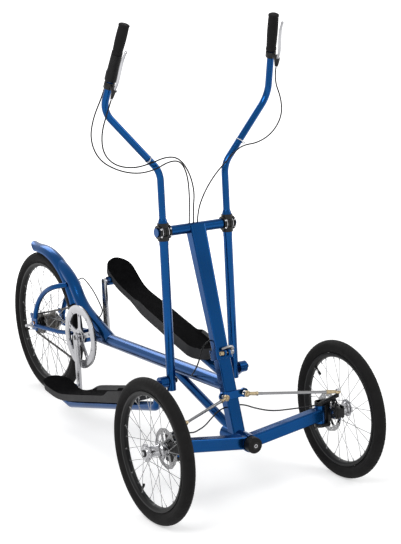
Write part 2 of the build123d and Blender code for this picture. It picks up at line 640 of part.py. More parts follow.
with BuildPart() as chain:
    for inset in (1.3, -2.5):
        with BuildSketch(chain_plane.offset(inset)):
            with BuildLine():
                add(chain_loop(4.2))
            make_face()
            with BuildLine():
                add(chain_loop(-4.2))
            make_face(mode=Mode.SUBTRACT)
        extrude(amount=1.2)
    for turn in (1, -1):
        a = lean_chain + turn * (math.pi / 2 + open_chain)
        near = Vector(XB + ring_radius * math.cos(a), CHAIN_Y, BB_Z + ring_radius * math.sin(a))
        far = Vector(XR + cog_radius * math.cos(a), CHAIN_Y, REAR_RADIUS + cog_radius * math.sin(a))
        count = int((far - near).length / (2 * PITCH)) - 2
        for k in range(count):
            spot = near + (far - near) * ((k + 1.5) / (count + 2))
            with Locations(spot):
                Box(4, 3, 4)
chain.part.label = "chain"
export_step(chain.part, "parts/chain.step")

# swing levers, handlebars and hand controls
brake_start = {}
for side, s in SIDES:
    y = s * LEVER_Y
    with BuildPart() as pivot_block:
        add(rod_between((PIVOT_X, s * block_in, BAR_Z), (PIVOT_X, s * block_out, BAR_Z), BLOCK_RADIUS))
        add(rod_between(lever_point(BLOCK_REACH, y), lever_point(-BLOCK_REACH, y), 21))
        with Locations(Location((PIVOT_X, y, BAR_Z), (90, 0, 0))):
            Cylinder(SPINDLE_RADIUS + RUN_FIT, 200, mode=Mode.SUBTRACT)
    pivot_block.part.label = f"pivot_block_{side}"
    export_step(pivot_block.part, f"parts/pivot_block_{side}.step")

    with BuildPart() as lever_tube:
        add(rod_between(lever_point(BLOCK_REACH + SEAT_GAP, y), lever_point(LEVER_BELOW, y), LEVER_RADIUS))
        at = lever_point(HINGE_BELOW, y)
        add(rod_between(at, at + Vector(0, s * 54, 0), 8))
    lever_tube.part.label = f"lever_tube_{side}"
    export_step(lever_tube.part, f"parts/lever_tube_{side}.step")

    low = lever_point(-BLOCK_REACH - SEAT_GAP, y)
    bend_low = lever_point(-LOWER_BEND_UP, y)
    bend_high = Vector(XF + UPPER_BEND[0], s * UPPER_BEND[1], UPPER_BEND[2])
    top = Vector(XF + GRIP_TOP[0], s * GRIP_TOP[1], GRIP_TOP[2])
    up = (top - bend_high).normalized()
    if s < 0:
        up_right = up
    handlebar = round_route([low, bend_low, bend_high, top], BEND_RADIUS, HANDLEBAR_RADIUS)
    handlebar.label = f"handlebar_{side}"
    export_step(handlebar, f"parts/handlebar_{side}.step")

    length = GRIP_LENGTH if s > 0 else SHIFT_GRIP_LENGTH
    with BuildPart() as grip:
        add(rod_between(top - up * length, top + up * 1.0, GRIP_RADIUS))
        add(rod_between(top - up * (length + 5), top + up * 5, HANDLEBAR_RADIUS + SEAT_GAP), mode=Mode.SUBTRACT)
    grip.part.label = f"grip_{side}"
    export_step(grip.part, f"parts/grip_{side}.step")

    fore = (Vector(1, 0, 0) - up * up.X).normalized()
    below = length + 1
    if s < 0:
        with BuildPart() as twist_shifter:
            add(rod_between(top - up * (below + SHIFTER_LENGTH), top - up * below, GRIP_RADIUS + 2))
            boss = top - up * (below + SHIFTER_LENGTH - 14)
            add(rod_between(boss - fore * (GRIP_RADIUS - 2), boss - fore * STUB_OUT, 7))
            add(rod_between(boss - fore * STUB_OUT, boss - fore * STUB_OUT - up * STUB_LENGTH, 4.5))
            shift_start = boss - fore * STUB_OUT - up * (STUB_LENGTH + CABLE_GAP)
            add(rod_between(top - up * (below + SHIFTER_LENGTH + 5), top - up * (below - 5),
                            HANDLEBAR_RADIUS + SEAT_GAP), mode=Mode.SUBTRACT)
        twist_shifter.part.label = "twist_shifter"
        export_step(twist_shifter.part, "parts/twist_shifter.step")
        below = below + SHIFTER_LENGTH + 1

    ring_mid = top - up * (below + 14)
    with BuildPart() as brake_lever:
        add(rod_between(ring_mid - up * 12, ring_mid + up * 12, HANDLEBAR_RADIUS + 6))
        with BuildSketch(Plane(origin=ring_mid + fore * 14, x_dir=up, z_dir=fore)):
            RectangleRounded(26, 18, 4)
        extrude(amount=36)
        barrel_end = ring_mid - up * 36 + fore * 36
        barrel_way = (barrel_end - ring_mid - fore * 40).normalized()
        add(rod_between(barrel_end, ring_mid + fore * 40, 5))
        brake_start[side] = (barrel_end + barrel_way * CABLE_GAP, barrel_end + barrel_way * 50)
        add(round_route([ring_mid + fore * 42, ring_mid + fore * 50 + up * 40, ring_mid + fore * 44 + up * 110,
                         ring_mid + fore * 52 + up * 138], 20, 5.5))
        add(rod_between(ring_mid - up * 20, ring_mid + up * 20, HANDLEBAR_RADIUS + SEAT_GAP), mode=Mode.SUBTRACT)
    brake_lever.part.label = f"brake_lever_{side}"
    export_step(brake_lever.part, f"parts/brake_lever_{side}.step")

# foot platforms with their carriers
for side, s in SIDES:
    pin = crank_pin(s)
    reach = math.hypot(hinge.X - pin.X, hinge.Z - pin.Z)
    slope = math.degrees(math.atan2(hinge.Z - pin.Z, hinge.X - pin.X))
    place = Location((pin.X, 0, pin.Z), (0, -slope, 0))
    fall = math.tan(math.radians(PAD_FALL))
    rise = math.tan(math.radians(PAD_RISE))
    toe = reach - 200
    heel = -70.0

    def pad_low(u):
        if u > PAD_KINK:
            return PAD_DROP - fall * (u - PAD_KINK)
        return PAD_DROP + rise * (PAD_KINK - u)

    def carrier_low(u):
        return pad_low(u) - CARRIER_RADIUS - SEAT_GAP

    barrel_in = LEVER_Y + LEVER_RADIUS + 3
    barrel_out = barrel_in + 29
    route = [Vector(0, s * CARRIER_V, 0), Vector(PAD_KINK + 20, s * CARRIER_V, carrier_low(PAD_KINK + 20)),
             Vector(reach - 78, s * CARRIER_V, carrier_low(reach - 78)), Vector(reach, s * CARRIER_V, 0)]
    with BuildPart() as carrier:
        add(round_route(route, 36, CARRIER_RADIUS))
        add(rod_between((0, s * (PIN_END_Y + 0.3), 0), (0, s * (CARRIER_V + CARRIER_RADIUS), 0),
                        CARRIER_RADIUS + 1))
        add(rod_between((reach, s * barrel_in, 0), (reach, s * barrel_out, 0), 20))
        with Locations(Location((reach, s * CARRIER_V, 0), (90, 0, 0))):
            Cylinder(8 + RUN_FIT, 100, mode=Mode.SUBTRACT)
    carrier.part = carrier.part.moved(place)
    carrier.part.label = f"carrier_{side}"
    export_step(carrier.part, f"parts/carrier_{side}.step")

    outline = [(heel, 150), (heel + 50, 94), (PAD_KINK + 50, 112), (330, 94), (toe - 60, 92), (toe, 152),
               (toe - 60, 214), (330, 208), (PAD_KINK + 50, 205), (heel + 60, 211)]
    with BuildPart() as pad:
        with BuildSketch(Plane.XY.offset(-250)):
            with BuildLine():
                Spline(*[(u, s * v) for u, v in outline], periodic=True)
            make_face()
        extrude(amount=500)
        with BuildSketch(Plane(origin=(0, -s * 10, 0), x_dir=(1, 0, 0), z_dir=(0, -1, 0))):
            with BuildLine():
                Polyline((heel - 60, pad_low(heel - 60)), (PAD_KINK, PAD_DROP), (toe + 60, pad_low(toe + 60)),
                         (toe + 60, pad_low(toe + 60) + PAD_THICK), (PAD_KINK, PAD_DROP + PAD_THICK),
                         (heel - 60, pad_low(heel - 60) + PAD_THICK), close=True)
            make_face()
        extrude(amount=-s * 400, mode=Mode.INTERSECT)
        add(round_route(route, 36, CARRIER_RADIUS + SEAT_GAP), mode=Mode.SUBTRACT)
        add(rod_between((0, s * 60, 0), (0, s * (CARRIER_V + CARRIER_RADIUS + 1), 0),
                        CARRIER_RADIUS + 1 + SEAT_GAP), mode=Mode.SUBTRACT)
    pad.part = pad.part.moved(place)
    pad.part.label = f"pad_{side}"
    export_step(pad.part, f"parts/pad_{side}.step")


# control cables: loops from the hand controls to the top of the mast, and on to the wheels
def cable_points(offsets):
    return [Vector(XF + x, y, z) for x, y, z in offsets]


def cable(points):
    radii = []
    for before, corner, after in zip(points, points[1:], points[2:]):
        turn = math.radians((corner - before).get_angle(after - corner))
        run = min((corner - before).length, (after - corner).length)
        radii.append(0.45 * run / math.tan(turn / 2))
    return cable_route(points, radii, CABLE_RADIUS)


crossbar_top = BAR_Z + CROSSBAR_RADIUS + CABLE_GAP
with BuildPart() as cables_right:
    add(cable(list(brake_start["right"]) + cable_points([
        (-331, -350, 1255), (-352, -335, 1185), (-366, -285, 1138), (-347, -225, 1124), (-319, -172, 1139),
        (-308, -118, 1158), (-303, -70, 1150), (-292, -38, 1100), (-297, -16, 1030), (BAR_X + 5, -10, 965),
        (BAR_X + 2, -9, crossbar_top)])))
    add(cable([shift_start, shift_start - up_right * 45] + cable_points([
        (-388, -350, 1300), (-402, -356, 1225), (-402, -325, 1155), (-384, -265, 1116), (-346, -212, 1104),
        (-310, -165, 1116), (-296, -112, 1144), (-291, -70, 1140), (-298, -42, 1090), (-310, -29, 1020),
        (BAR_X + 3, -25, 962), (BAR_X - 2, -24, crossbar_top)])))
cables_right.part.label = "cables_right"
export_step(cables_right.part, "parts/cables_right.step")

with BuildPart() as cable_left:
    add(cable(list(brake_start["left"]) + cable_points([
        (-274, 334, 1322), (-262, 328, 1262), (-272, 295, 1205), (-294, 248, 1172), (-319, 197, 1165),
        (-309, 150, 1140), (-307, 118, 1114), (-312, 82, 1080), (-318, 48, 1034), (-321, 22, 985),
        (BAR_X + 1, 10, 945), (BAR_X, 8, crossbar_top)])))
cable_left.part.label = "cable_left"
export_step(cable_left.part, "parts/cable_left.step")

caliper_top = FRONT_RADIUS + 39
with BuildPart() as front_brake_cables:
    for side, s in SIDES:
        mast_side = MAST_WIDTH / 2 + CABLE_GAP
        add(cable(cable_points([
            (-116, s * mast_side, LEAN_HEIGHT + 103), (-115, s * 48, LEAN_HEIGHT + 101),
            (-103, s * 88, LEAN_HEIGHT + 82), (-70, s * 138, LEAN_HEIGHT + 70),
            (-20, s * 190, LEAN_HEIGHT + 82), (26, s * 236, LEAN_HEIGHT + 94),
            (48, s * 272, LEAN_HEIGHT + 106), (57, s * 297, caliper_top + 22),
            (61, s * 313, caliper_top + 15), (62, s * 314, caliper_top + 2 * CABLE_GAP)])))
front_brake_cables.part.label = "front_brake_cables"
export_step(front_brake_cables.part, "parts/front_brake_cables.step")

spine_low = Vector(XB + 170, 0, MAIN_REAR_Z)
spine_bend = about_axle(FENDER_CENTRE + 55, 20.5)
spine_way = (spine_bend - spine_low).normalized()
spine_spot = spine_low + spine_way * 149
spine_side = (Vector(-spine_way.Z, 0, spine_way.X) * -1 + Vector(0, 1, 0)).normalized()
with BuildPart() as shift_cable:
    add(cable(cable_points([
        (-205, -MAST_WIDTH / 2 - 1.0, 520), (-207, -44, 514), (-222, -52, 480), (-244, -50, 436),
        (-276, -48, 396), (-309, -46, 368), (-312, -MAIN_RADIUS - 2 * CABLE_GAP, 365)])))
    spine_ends = [spine_spot + spine_side * (SPINE_RADIUS + CABLE_GAP), spine_spot + spine_side * 48]
    add(cable(spine_ends + cable_points([
        (-1150, 41, 453), (-1205, 46, 488), (-1265, 50, 514), (-1318, 55, 525), (-1353, 58.3, 512.4),
        (-1405, 61.6, 489.2)])))
shift_cable.part.label = "shift_cable"
export_step(shift_cable.part, "parts/shift_cable.step")
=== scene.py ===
"""Elliptical tricycle: finishes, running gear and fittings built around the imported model."""

import json
from math import acos, asin, atan2, cos, degrees, exp, hypot, log1p, pi, radians, sin, sqrt, tan

import bmesh
import bpy
from mathutils import Matrix, Vector


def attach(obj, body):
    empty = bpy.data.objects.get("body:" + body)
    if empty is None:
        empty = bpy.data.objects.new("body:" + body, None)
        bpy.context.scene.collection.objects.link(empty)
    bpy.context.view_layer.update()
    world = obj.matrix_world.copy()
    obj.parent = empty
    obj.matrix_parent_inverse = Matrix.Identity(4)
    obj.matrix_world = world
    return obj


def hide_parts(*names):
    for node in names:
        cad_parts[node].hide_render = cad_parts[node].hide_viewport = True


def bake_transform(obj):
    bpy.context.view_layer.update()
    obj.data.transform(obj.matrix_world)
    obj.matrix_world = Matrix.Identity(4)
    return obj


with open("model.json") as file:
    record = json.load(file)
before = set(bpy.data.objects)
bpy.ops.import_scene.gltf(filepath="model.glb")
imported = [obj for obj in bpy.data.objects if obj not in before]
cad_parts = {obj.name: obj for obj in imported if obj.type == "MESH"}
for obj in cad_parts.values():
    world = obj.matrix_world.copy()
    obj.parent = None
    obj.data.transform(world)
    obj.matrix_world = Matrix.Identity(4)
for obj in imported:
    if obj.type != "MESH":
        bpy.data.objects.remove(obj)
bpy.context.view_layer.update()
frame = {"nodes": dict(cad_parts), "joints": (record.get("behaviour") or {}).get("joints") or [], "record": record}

MM = 0.001
SIDES = (("right", -1), ("left", 1))
JOINTS = {joint["name"]: joint for joint in frame["joints"]}
X = Vector((1, 0, 0))
Y = Vector((0, 1, 0))
Z = Vector((0, 0, 1))

# sizes in millimetres, as in the CAD model
TYRE_WIDTH = 44
TYRE_HEIGHT = 44
RIM_WIDTH = 28
RIM_DEPTH = 16
FRONT_SPOKES = 28
REAR_SPOKES = 36
KINGPIN_Y = 290
HUB_END = 419
ROTOR_RADIUS = 70
ROTOR_OFFSET = -48
ROTOR_Y = KINGPIN_Y + 41
WEB_Y = KINGPIN_Y + 27
ROD_INNER = (-80, 42, 346)
BALL = (72, 314, 341)
PIN_LEAN = radians(7.764)
MAST_FOOT = (-90, 0, 225)
CLAMP_MIDDLE = 263
CLAMP_FACE = 29.5
PIVOT_CAP_FACE = (33, 0, 197)
BAR = (-323, 0, 897)
CROSSBAR_RADIUS = 18
LEVER_Y = 130
LEVER_TILT = radians(2.4)
LEVER_RADIUS = 16
HANDLEBAR_RADIUS = 12.5
UPPER_BEND = (-352, 330, 1328)
LOWER_BEND = (-332, 130, 1105)
GRIP_TOP = (-250, 292, 1616)
GRIP_LENGTHS = {"right": 105, "left": 134}
SHIFTER_LENGTH = 94
CRANK_LENGTH = 206
CRANK_Y = 70
CHAIN_Y = -47
PITCH = 12.7
RING_TEETH = 60
COG_TEETH = 20
RING_PITCH = RING_TEETH * PITCH / (2 * pi)
COG_PITCH = COG_TEETH * PITCH / (2 * pi)
GUARD_RADIUS = 128
DROPOUT_Y = 65
DROPOUT_FACE = 68.2
FENDER_GAP = 6
FENDER_RADIUS = 29
FENDER_SKIN = 2.5
SPINE_RADIUS = 25
STAY_RADIUS = 10.6
CABLE_RADIUS = 2.5


def joint_at(name):
    return Vector(JOINTS[name]["pos_m"]) / MM


FRONT_AXLE = joint_at("front_right_wheel_spin").x
FRONT_RADIUS = joint_at("front_right_wheel_spin").z
REAR_AT = joint_at("rear_wheel_spin")
REAR_RADIUS = REAR_AT.z
FENDER_LINE = REAR_RADIUS + FENDER_GAP
CRANK_AT = joint_at("crank_spin")
HINGE_AT = joint_at("platform_right_tilt")
PHASE = atan2(HINGE_AT.z - CRANK_AT.z, HINGE_AT.x - CRANK_AT.x)


def spot(x, y, z):
    """A place measured in millimetres from the front axle's line on the floor."""
    return Vector((FRONT_AXLE + x, y, z))


def mirrored(place, s):
    """A place of the left side, or its mirror image on the right."""
    return spot(place[0], s * place[1], place[2])


def radial(turn):
    """The direction at a turn in a wheel's plane."""
    return Vector((cos(turn), 0, sin(turn)))


def polar(radius, turn):
    return radius * cos(turn), radius * sin(turn)


def full_turn(count):
    """Even angles around a circle."""
    return [2 * pi * k / count for k in range(count)]


def shown(name, data):
    thing = bpy.data.objects.new(name, data)
    bpy.context.scene.collection.objects.link(thing)
    return thing


# node materials


def new_material(name):
    material = bpy.data.materials.new(name)
    material.use_nodes = True
    return material, material.node_tree


def feed(tree, node, inputs):
    """Sets a node's inputs, each from a plain value or from another node's output."""
    for socket, value in inputs.items():
        if isinstance(value, bpy.types.NodeSocket):
            tree.links.new(value, node.inputs[socket])
        else:
            node.inputs[socket].default_value = value
    return node


def add(tree, kind, inputs):
    return feed(tree, tree.nodes.new(f"ShaderNode{kind}"), inputs)


def object_place(tree):
    return tree.nodes.new("ShaderNodeTexCoord").outputs["Object"]


def noise(tree, scale, detail):
    inputs = {"Vector": object_place(tree), "Scale": scale, "Detail": detail}
    return add(tree, "TexNoise", inputs).outputs["Fac"]


def ramp(tree, value, low, high):
    node = add(tree, "ValToRGB", {"Fac": value})
    for stop, position, colour in zip(node.color_ramp.elements, (0.3, 0.7), (low, high)):
        stop.position = position
        stop.color = (*colour, 1)
    return node.outputs["Color"]


def spread(tree, value, low, high, start=0.3, end=0.7):
    inputs = {"Value": value, "From Min": start, "From Max": end, "To Min": low, "To Max": high}
    return add(tree, "MapRange", inputs).outputs["Result"]


def bump(tree, height, strength, distance):
    inputs = {"Height": height, "Strength": strength, "Distance": distance}
    return add(tree, "Bump", inputs).outputs["Normal"]


def shade(colour, factor):
    return tuple(channel * factor for channel in colour)


def surface(name, colour, rough, metallic=0.0, vary=0.12, patch=40, grain=900, relief=0.1, depth=0.0002,
            shine=0.5):
    """A finish with soft patches of colour and gloss, and a fine grain in its relief."""
    material, tree = new_material(name)
    patches = noise(tree, patch, 4.0)
    grains = noise(tree, grain, 2.0)
    feed(tree, tree.nodes["Principled BSDF"], {
        "Metallic": metallic,
        "Specular IOR Level": shine,
        "Base Color": ramp(tree, patches, shade(colour, 1 - vary), shade(colour, 1 + vary)),
        "Roughness": spread(tree, grains, rough * 0.85, min(1.0, rough * 1.15)),
        "Normal": bump(tree, grains, relief, depth)})
    return material


def paint(name, colour):
    """Metallic paint: fine flakes under a clear coat with a faint orange-peel relief."""
    material, tree = new_material(name)
    flakes = add(tree, "TexVoronoi", {"Vector": object_place(tree), "Scale": 1400})
    base = ramp(tree, noise(tree, 6, 2.0), shade(colour, 0.9), shade(colour, 1.1))
    glint = add(tree, "MixRGB", {"Fac": 0.25, "Color1": base, "Color2": flakes.outputs["Color"]})
    glint.blend_type = "SOFT_LIGHT"
    feed(tree, tree.nodes["Principled BSDF"], {
        "Metallic": 0.88,
        "Specular IOR Level": 0.2,
        "Coat Weight": 0.08,
        "Coat Roughness": 0.05,
        "Base Color": glint.outputs["Color"],
        "Roughness": spread(tree, flakes.outputs["Distance"], 0.17, 0.24),
        "Normal": bump(tree, noise(tree, 260, 2.0), 0.04, 0.0004)})
    return material


BLUE = paint("blue_paint", (0.0015, 0.048, 0.17))
RUBBER = surface("tyre_rubber", (0.007, 0.0067, 0.0068), 0.75, vary=0.25, patch=25, grain=1600, relief=0.25,
                 shine=0.12)
RIM_BLACK = surface("rim_black", (0.004, 0.004, 0.0043), 0.4, patch=30, shine=0.2)
PLASTIC = surface("black_plastic", (0.005, 0.005, 0.0053), 0.5, grain=2200, relief=0.2, shine=0.15)
PAD_WALL = surface("pad_wall", (0.030, 0.030, 0.031), 0.65, grain=1500, relief=0.3, shine=0.2)
PAD_TOP = surface("pad_grip", (0.0025, 0.0025, 0.0028), 0.9, vary=0.35, grain=1300, relief=0.9, depth=0.0006,
                  shine=0.02)
GRIP_RUBBER = surface("grip_rubber", (0.007, 0.0067, 0.007), 0.7, vary=0.2, grain=1800, relief=0.35,
                      shine=0.12)
BLACK_METAL = surface("black_metal", (0.004, 0.004, 0.0043), 0.33, grain=1200, shine=0.25)
CABLE = surface("cable_black", (0.004, 0.004, 0.0043), 0.4, grain=3000, shine=0.15)
SILVER = surface("polished_alloy", (0.40, 0.40, 0.415), 0.2, metallic=1.0, vary=0.05, grain=1500, relief=0.02)
BRIGHT = surface("spoke_steel", (0.27, 0.27, 0.275), 0.2, metallic=1.0, vary=0.05, grain=1500, relief=0.05)
CHROME = surface("chrome", (0.26, 0.26, 0.265), 0.06, metallic=1.0, vary=0.04, grain=500, relief=0.03)
DARK_ALLOY = surface("dark_alloy", (0.11, 0.105, 0.10), 0.3, metallic=1.0, vary=0.1, grain=1500, relief=0.05)
ZINC = surface("yellow_zinc", (0.40, 0.32, 0.20), 0.33, metallic=1.0, vary=0.3, patch=120, grain=1600)
CHAIN_STEEL = surface("chain_steel", (0.045, 0.043, 0.041), 0.4, metallic=0.85, vary=0.3, patch=200)
ORANGE = surface("orange_washer", (0.75, 0.27, 0.02), 0.45, vary=0.15, patch=200, shine=0.3)
CLEAR_TIE = surface("pale_tie", (0.55, 0.56, 0.58), 0.4, vary=0.1, patch=300, shine=0.3)


# mesh building


def side_of(direction):
    """A direction square to the one given, kept level where it can be."""
    flat = direction.cross(Z)
    if flat.length < 0.05:
        flat = direction.cross(Y)
    return flat.normalized()


def ways_along(points):
    """The direction of a line at each of its points."""
    pairs = zip(points[:1] + points[:-1], points[1:] + points[-1:])
    return [(after - before).normalized() for before, after in pairs]


def frames_along(points):
    """For each point of a line, its place and two steady square directions."""
    ways = ways_along(points)
    side = side_of(ways[0])
    found = []
    for point, way in zip(points, ways):
        side = (side - way * side.dot(way)).normalized()
        found.append((point, side, way.cross(side).normalized()))
    return found


def placed(origin, x_dir, y_dir, z_dir):
    return Matrix.Translation(origin) @ Matrix((x_dir, y_dir, z_dir)).transposed().to_4x4()


def drawn(curve):
    """The mesh that a curve draws, in place of the curve."""
    holder = bpy.data.objects.new("curve", curve)
    mesh = bpy.data.meshes.new_from_object(holder)
    bpy.data.objects.remove(holder)
    bpy.data.curves.remove(curve)
    return mesh


class Shape:
    """Collects one piece's faces; each call adds a form in one of its materials.

    All measures are in millimetres until the piece is made.
    """

    def __init__(self):
        self.bm = bmesh.new()

    def plate(self, outlines, thickness, origin, x_dir, normal, bevel, material=0):
        """A flat plate with holes: the first outline is the edge, the rest are cut out."""
        curve = bpy.data.curves.new("plate", "CURVE")
        curve.dimensions = "2D"
        curve.fill_mode = "BOTH"
        curve.extrude = thickness / 2 - bevel
        curve.bevel_depth = bevel
        curve.bevel_resolution = 1
        curve.offset = -bevel
        for outline in outlines:
            spline = curve.splines.new("POLY")
            spline.points.add(len(outline) - 1)
            for point, (a, b) in zip(spline.points, outline):
                point.co = (a, b, 0, 1)
            spline.use_cyclic_u = True
        mesh = drawn(curve)
        normal = normal.normalized()
        x_dir = (x_dir - normal * x_dir.dot(normal)).normalized()
        mesh.transform(placed(origin, x_dir, normal.cross(x_dir), normal))
        before = len(self.bm.faces)
        self.bm.from_mesh(mesh)
        self.bm.faces.ensure_lookup_table()
        for face in self.bm.faces[before:]:
            face.material_index = material
        bpy.data.meshes.remove(mesh)

    def rings(self, rings, material=0, closed=False, smooth=True):
        """Skins rows of corners, each row a closed loop, with flat ends unless the rows close."""
        rows = [[self.bm.verts.new(corner) for corner in ring] for ring in rings]
        loops = []
        for here, after in zip(rows, rows[1:] + rows[:1] if closed else rows[1:]):
            for k in range(len(here)):
                n = (k + 1) % len(here)
                loops.append((here[k], here[n], after[n], after[k]))
        if not closed:
            loops += [rows[0][::-1], rows[-1]]
        for loop in loops:
            face = self.bm.faces.new(loop)
            face.material_index = material
            face.smooth = smooth

    def tube(self, points, radius, sides, material=0, flat=1.0):
        """A round or flattened bar along points; radius is a number or one per point."""
        radii = radius if isinstance(radius, (list, tuple)) else [radius] * len(points)
        rows = []
        for (place, side, up), r in zip(frames_along(points), radii):
            ring = [(r * flat * cos(a), r * sin(a)) for a in full_turn(sides)]
            rows.append([place + side * x + up * y for x, y in ring])
        self.rings(rows, material)

    def lathe(self, profile, centre, axis, turns, material=0, closed=False, smooth=True):
        """Turns (along, radius) points about an axis; a closed profile makes a ring."""
        axis = axis.normalized()
        side = side_of(axis)
        up = axis.cross(side)
        rows = []
        for along, radius in profile:
            place = centre + axis * along
            rows.append([place + (side * cos(a) + up * sin(a)) * radius for a in full_turn(turns)])
        self.rings(rows, material, closed, smooth)

    def hex_bolt(self, base, axis, across, height, material=0):
        """A hexagon head with a chamfered top and a thin washer face."""
        washer = across * 0.62
        self.lathe([(0, washer), (0.18 * height, washer)], base, axis, 20, material, smooth=False)
        flat = across / sqrt(3)
        self.lathe([(0.15 * height, flat), (0.85 * height, flat), (height, flat * 0.84)], base, axis, 6,
                   material, smooth=False)

    def cap_bolt(self, base, axis, radius, height, material=0, socket=1):
        """A round head with a sunk hexagon socket; the well takes its own material, black in silver heads as
        painted shade in the recess.
        """
        self.lathe([(0, radius), (0.85 * height, radius), (height, radius * 0.85), (height, radius * 0.55)],
                   base, axis, 20, material, smooth=False)
        # the well takes the socket material: black in silver heads, painted shade in the recess
        well = [(height * 0.98, radius * 0.55), (height, radius * 0.5), (height * 0.4, radius * 0.48),
                (height * 0.4, radius * 0.02)]
        self.lathe(well, base, axis, 6, socket, smooth=False)

    def piece(self, name, body, materials, nodes=(), slot=None, crease=38):
        bmesh.ops.recalc_face_normals(self.bm, faces=self.bm.faces)
        mesh = bpy.data.meshes.new(name)
        self.bm.to_mesh(mesh)
        self.bm.free()
        mesh.transform(Matrix.Scale(MM, 4))
        mesh.set_sharp_from_angle(angle=radians(crease))
        for material in materials:
            mesh.materials.append(material)
        piece = shown(name, mesh)
        if body:
            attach(piece, body)
        if nodes:
            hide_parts(*nodes)
        return piece


def circle(radius, count=48, centre=(0, 0)):
    corners = [polar(radius, a) for a in full_turn(count)]
    return [(centre[0] + x, centre[1] + y) for x, y in corners]


def softened(corners, radius, steps=5):
    """A closed outline with its corners rounded."""
    line = []
    count = len(corners)
    for k in range(count):
        here = Vector(corners[k])
        before = Vector(corners[k - 1]) - here
        after = Vector(corners[(k + 1) % count]) - here
        start = here + before.normalized() * min(radius, before.length * 0.49)
        end = here + after.normalized() * min(radius, after.length * 0.49)
        for j in range(steps + 1):
            t = j / steps
            point = start * (1 - t) ** 2 + here * 2 * t * (1 - t) + end * t ** 2
            line.append((point.x, point.y))
    return line


def smooth_line(points, resolution=12):
    """Points along the smooth curve that a row of control points draws."""
    curve = bpy.data.curves.new("line", "CURVE")
    curve.dimensions = "3D"
    curve.resolution_u = resolution
    spline = curve.splines.new("NURBS")
    spline.points.add(len(points) - 1)
    for control, point in zip(spline.points, points):
        control.co = (*point, 1)
    spline.order_u = 3
    spline.use_endpoint_u = True
    mesh = drawn(curve)
    line = [vertex.co.copy() for vertex in mesh.vertices]
    bpy.data.meshes.remove(mesh)
    return line


# wheels


def tread_depth(turn, across, blocks):
    """How far the tread is cut, in millimetres, at a turn and an angle from the crown."""
    reach = abs(across)
    if reach > 62:
        return 0.0
    cut = 0.0
    for groove in (0.0, 22.0, 44.0):
        cut = max(cut, 1.0 - abs(reach - groove) / 2.6)
    lag = reach / 62 * 0.9
    phase = (turn * blocks / (2 * pi) + lag) % 1.0
    cut = max(cut, 1.0 - abs(phase - 0.5) / 0.16)
    return 0.9 * max(0.0, min(1.0, 2 * cut))


def tyre(side_name, body, centre, radius, blocks):
    section = []
    steps = 56
    half = TYRE_WIDTH / 2 - 0.4
    core = radius - half - 0.2
    for k in range(steps + 1):
        across = -138 + 276 * k / steps
        a = radians(across)
        section.append((half * sin(a), core + (half + 0.2) * cos(a), across))
    bead = radius - TYRE_HEIGHT + 0.6
    rows = []
    for turn in full_turn(blocks * 5):
        out = radial(turn)
        row = [centre - Y * 11.6 + out * bead]
        for y, r, across in section:
            wall = 0.5 if 88 < abs(across) < 94 or 112 < abs(across) < 115 else 0.0
            r -= tread_depth(turn, across, blocks)
            row.append(centre + Y * (y * (1 + wall / 40)) + out * r)
        row.append(centre + Y * 11.6 + out * bead)
        rows.append(row)
    shape = Shape()
    shape.rings(rows, closed=True)
    shape.piece(f"{side_name}_tyre", body, [RUBBER], [f"tyre_{side_name}"], "tyre", 60)


def rim(side_name, body, centre, bead, count, valve_turn):
    """Black double-wall rim with hooked edges, spoke nipples and a valve."""
    half = RIM_WIDTH / 2
    low = bead - RIM_DEPTH
    edge = [(-half + 1.2, bead - 0.4), (-half, bead - 1.4), (-half, bead - 7.5), (-half + 1.6, bead - 9),
            (-half + 3.4, low + 3.2), (-half + 7.5, low)]
    section = edge + [(-y, r) for y, r in reversed(edge)]
    shape = Shape()
    shape.lathe(section, centre, Y, 160, closed=True)
    nipple = [(-0.4, 2.6), (1.2, 2.6), (1.6, 1.8), (8, 1.6), (9, 1.1)]
    for k, turn in enumerate(full_turn(count)):
        out = radial(turn)
        base = centre + out * (low - 0.2) + Y * (3 if k % 2 == 0 else -3)
        shape.lathe(nipple, base, -out, 8, 1, smooth=False)
    out = radial(valve_turn)
    valve = [(-1, 4), (6, 4), (9, 3), (20, 3), (21, 4.4), (32, 4.4), (34, 3.2)]
    shape.lathe(valve, centre + out * low, -out, 16, 2)
    shape.piece(f"{side_name}_rim", body, [RIM_BLACK, BRIGHT, PLASTIC], [f"rim_{side_name}"], "black_metal")


def spokes(side_name, body, centre, count, flange_r, flange_y, rim_r):
    shape = Shape()
    wire = 1.2 if side_name == "rear" else 0.95
    for k, turn in enumerate(full_turn(count)):
        outer = 1 if k % 2 == 0 else -1
        lean = 1 if (k // 2) % 2 == 0 else -1
        base = outer * (flange_y + (5.2 if lean > 0 else -4.4))
        start = centre + radial(turn + lean * radians(62)) * flange_r + Y * base
        end = centre + radial(turn) * rim_r + Y * 3 * outer
        shape.tube([start, start.lerp(end, 0.5), end], wire, 6)
        inward = Y * (outer * (flange_y - abs(base)))
        shape.tube([start, start + inward * 0.9], 1.1, 6)
    shape.piece(f"{side_name}_spokes", body, [BRIGHT], [f"spokes_{side_name}"], "silver")


def rotor_outlines():
    """Brake disc: a drilled band carried on six curved arms."""
    cuts = [[polar(ROTOR_RADIUS - 0.8 + 0.8 * cos(12 * a), a) for a in full_turn(144)]]
    for a in full_turn(6):
        window = [polar(54, a + radians(8 + 5.5 * step)) for step in range(9)]
        window += [polar(27, a + radians(62 - 5.0 * step)) for step in range(9)]
        cuts.append(window)
        for j in range(3):
            t = a + radians(10 + 20 * j)
            cuts.append(circle(2.6, 10, polar(59.5, t)))
            cuts.append(circle(2.2, 10, polar(65, t + 0.16)))
    cuts.append(circle(13, 32))
    return cuts


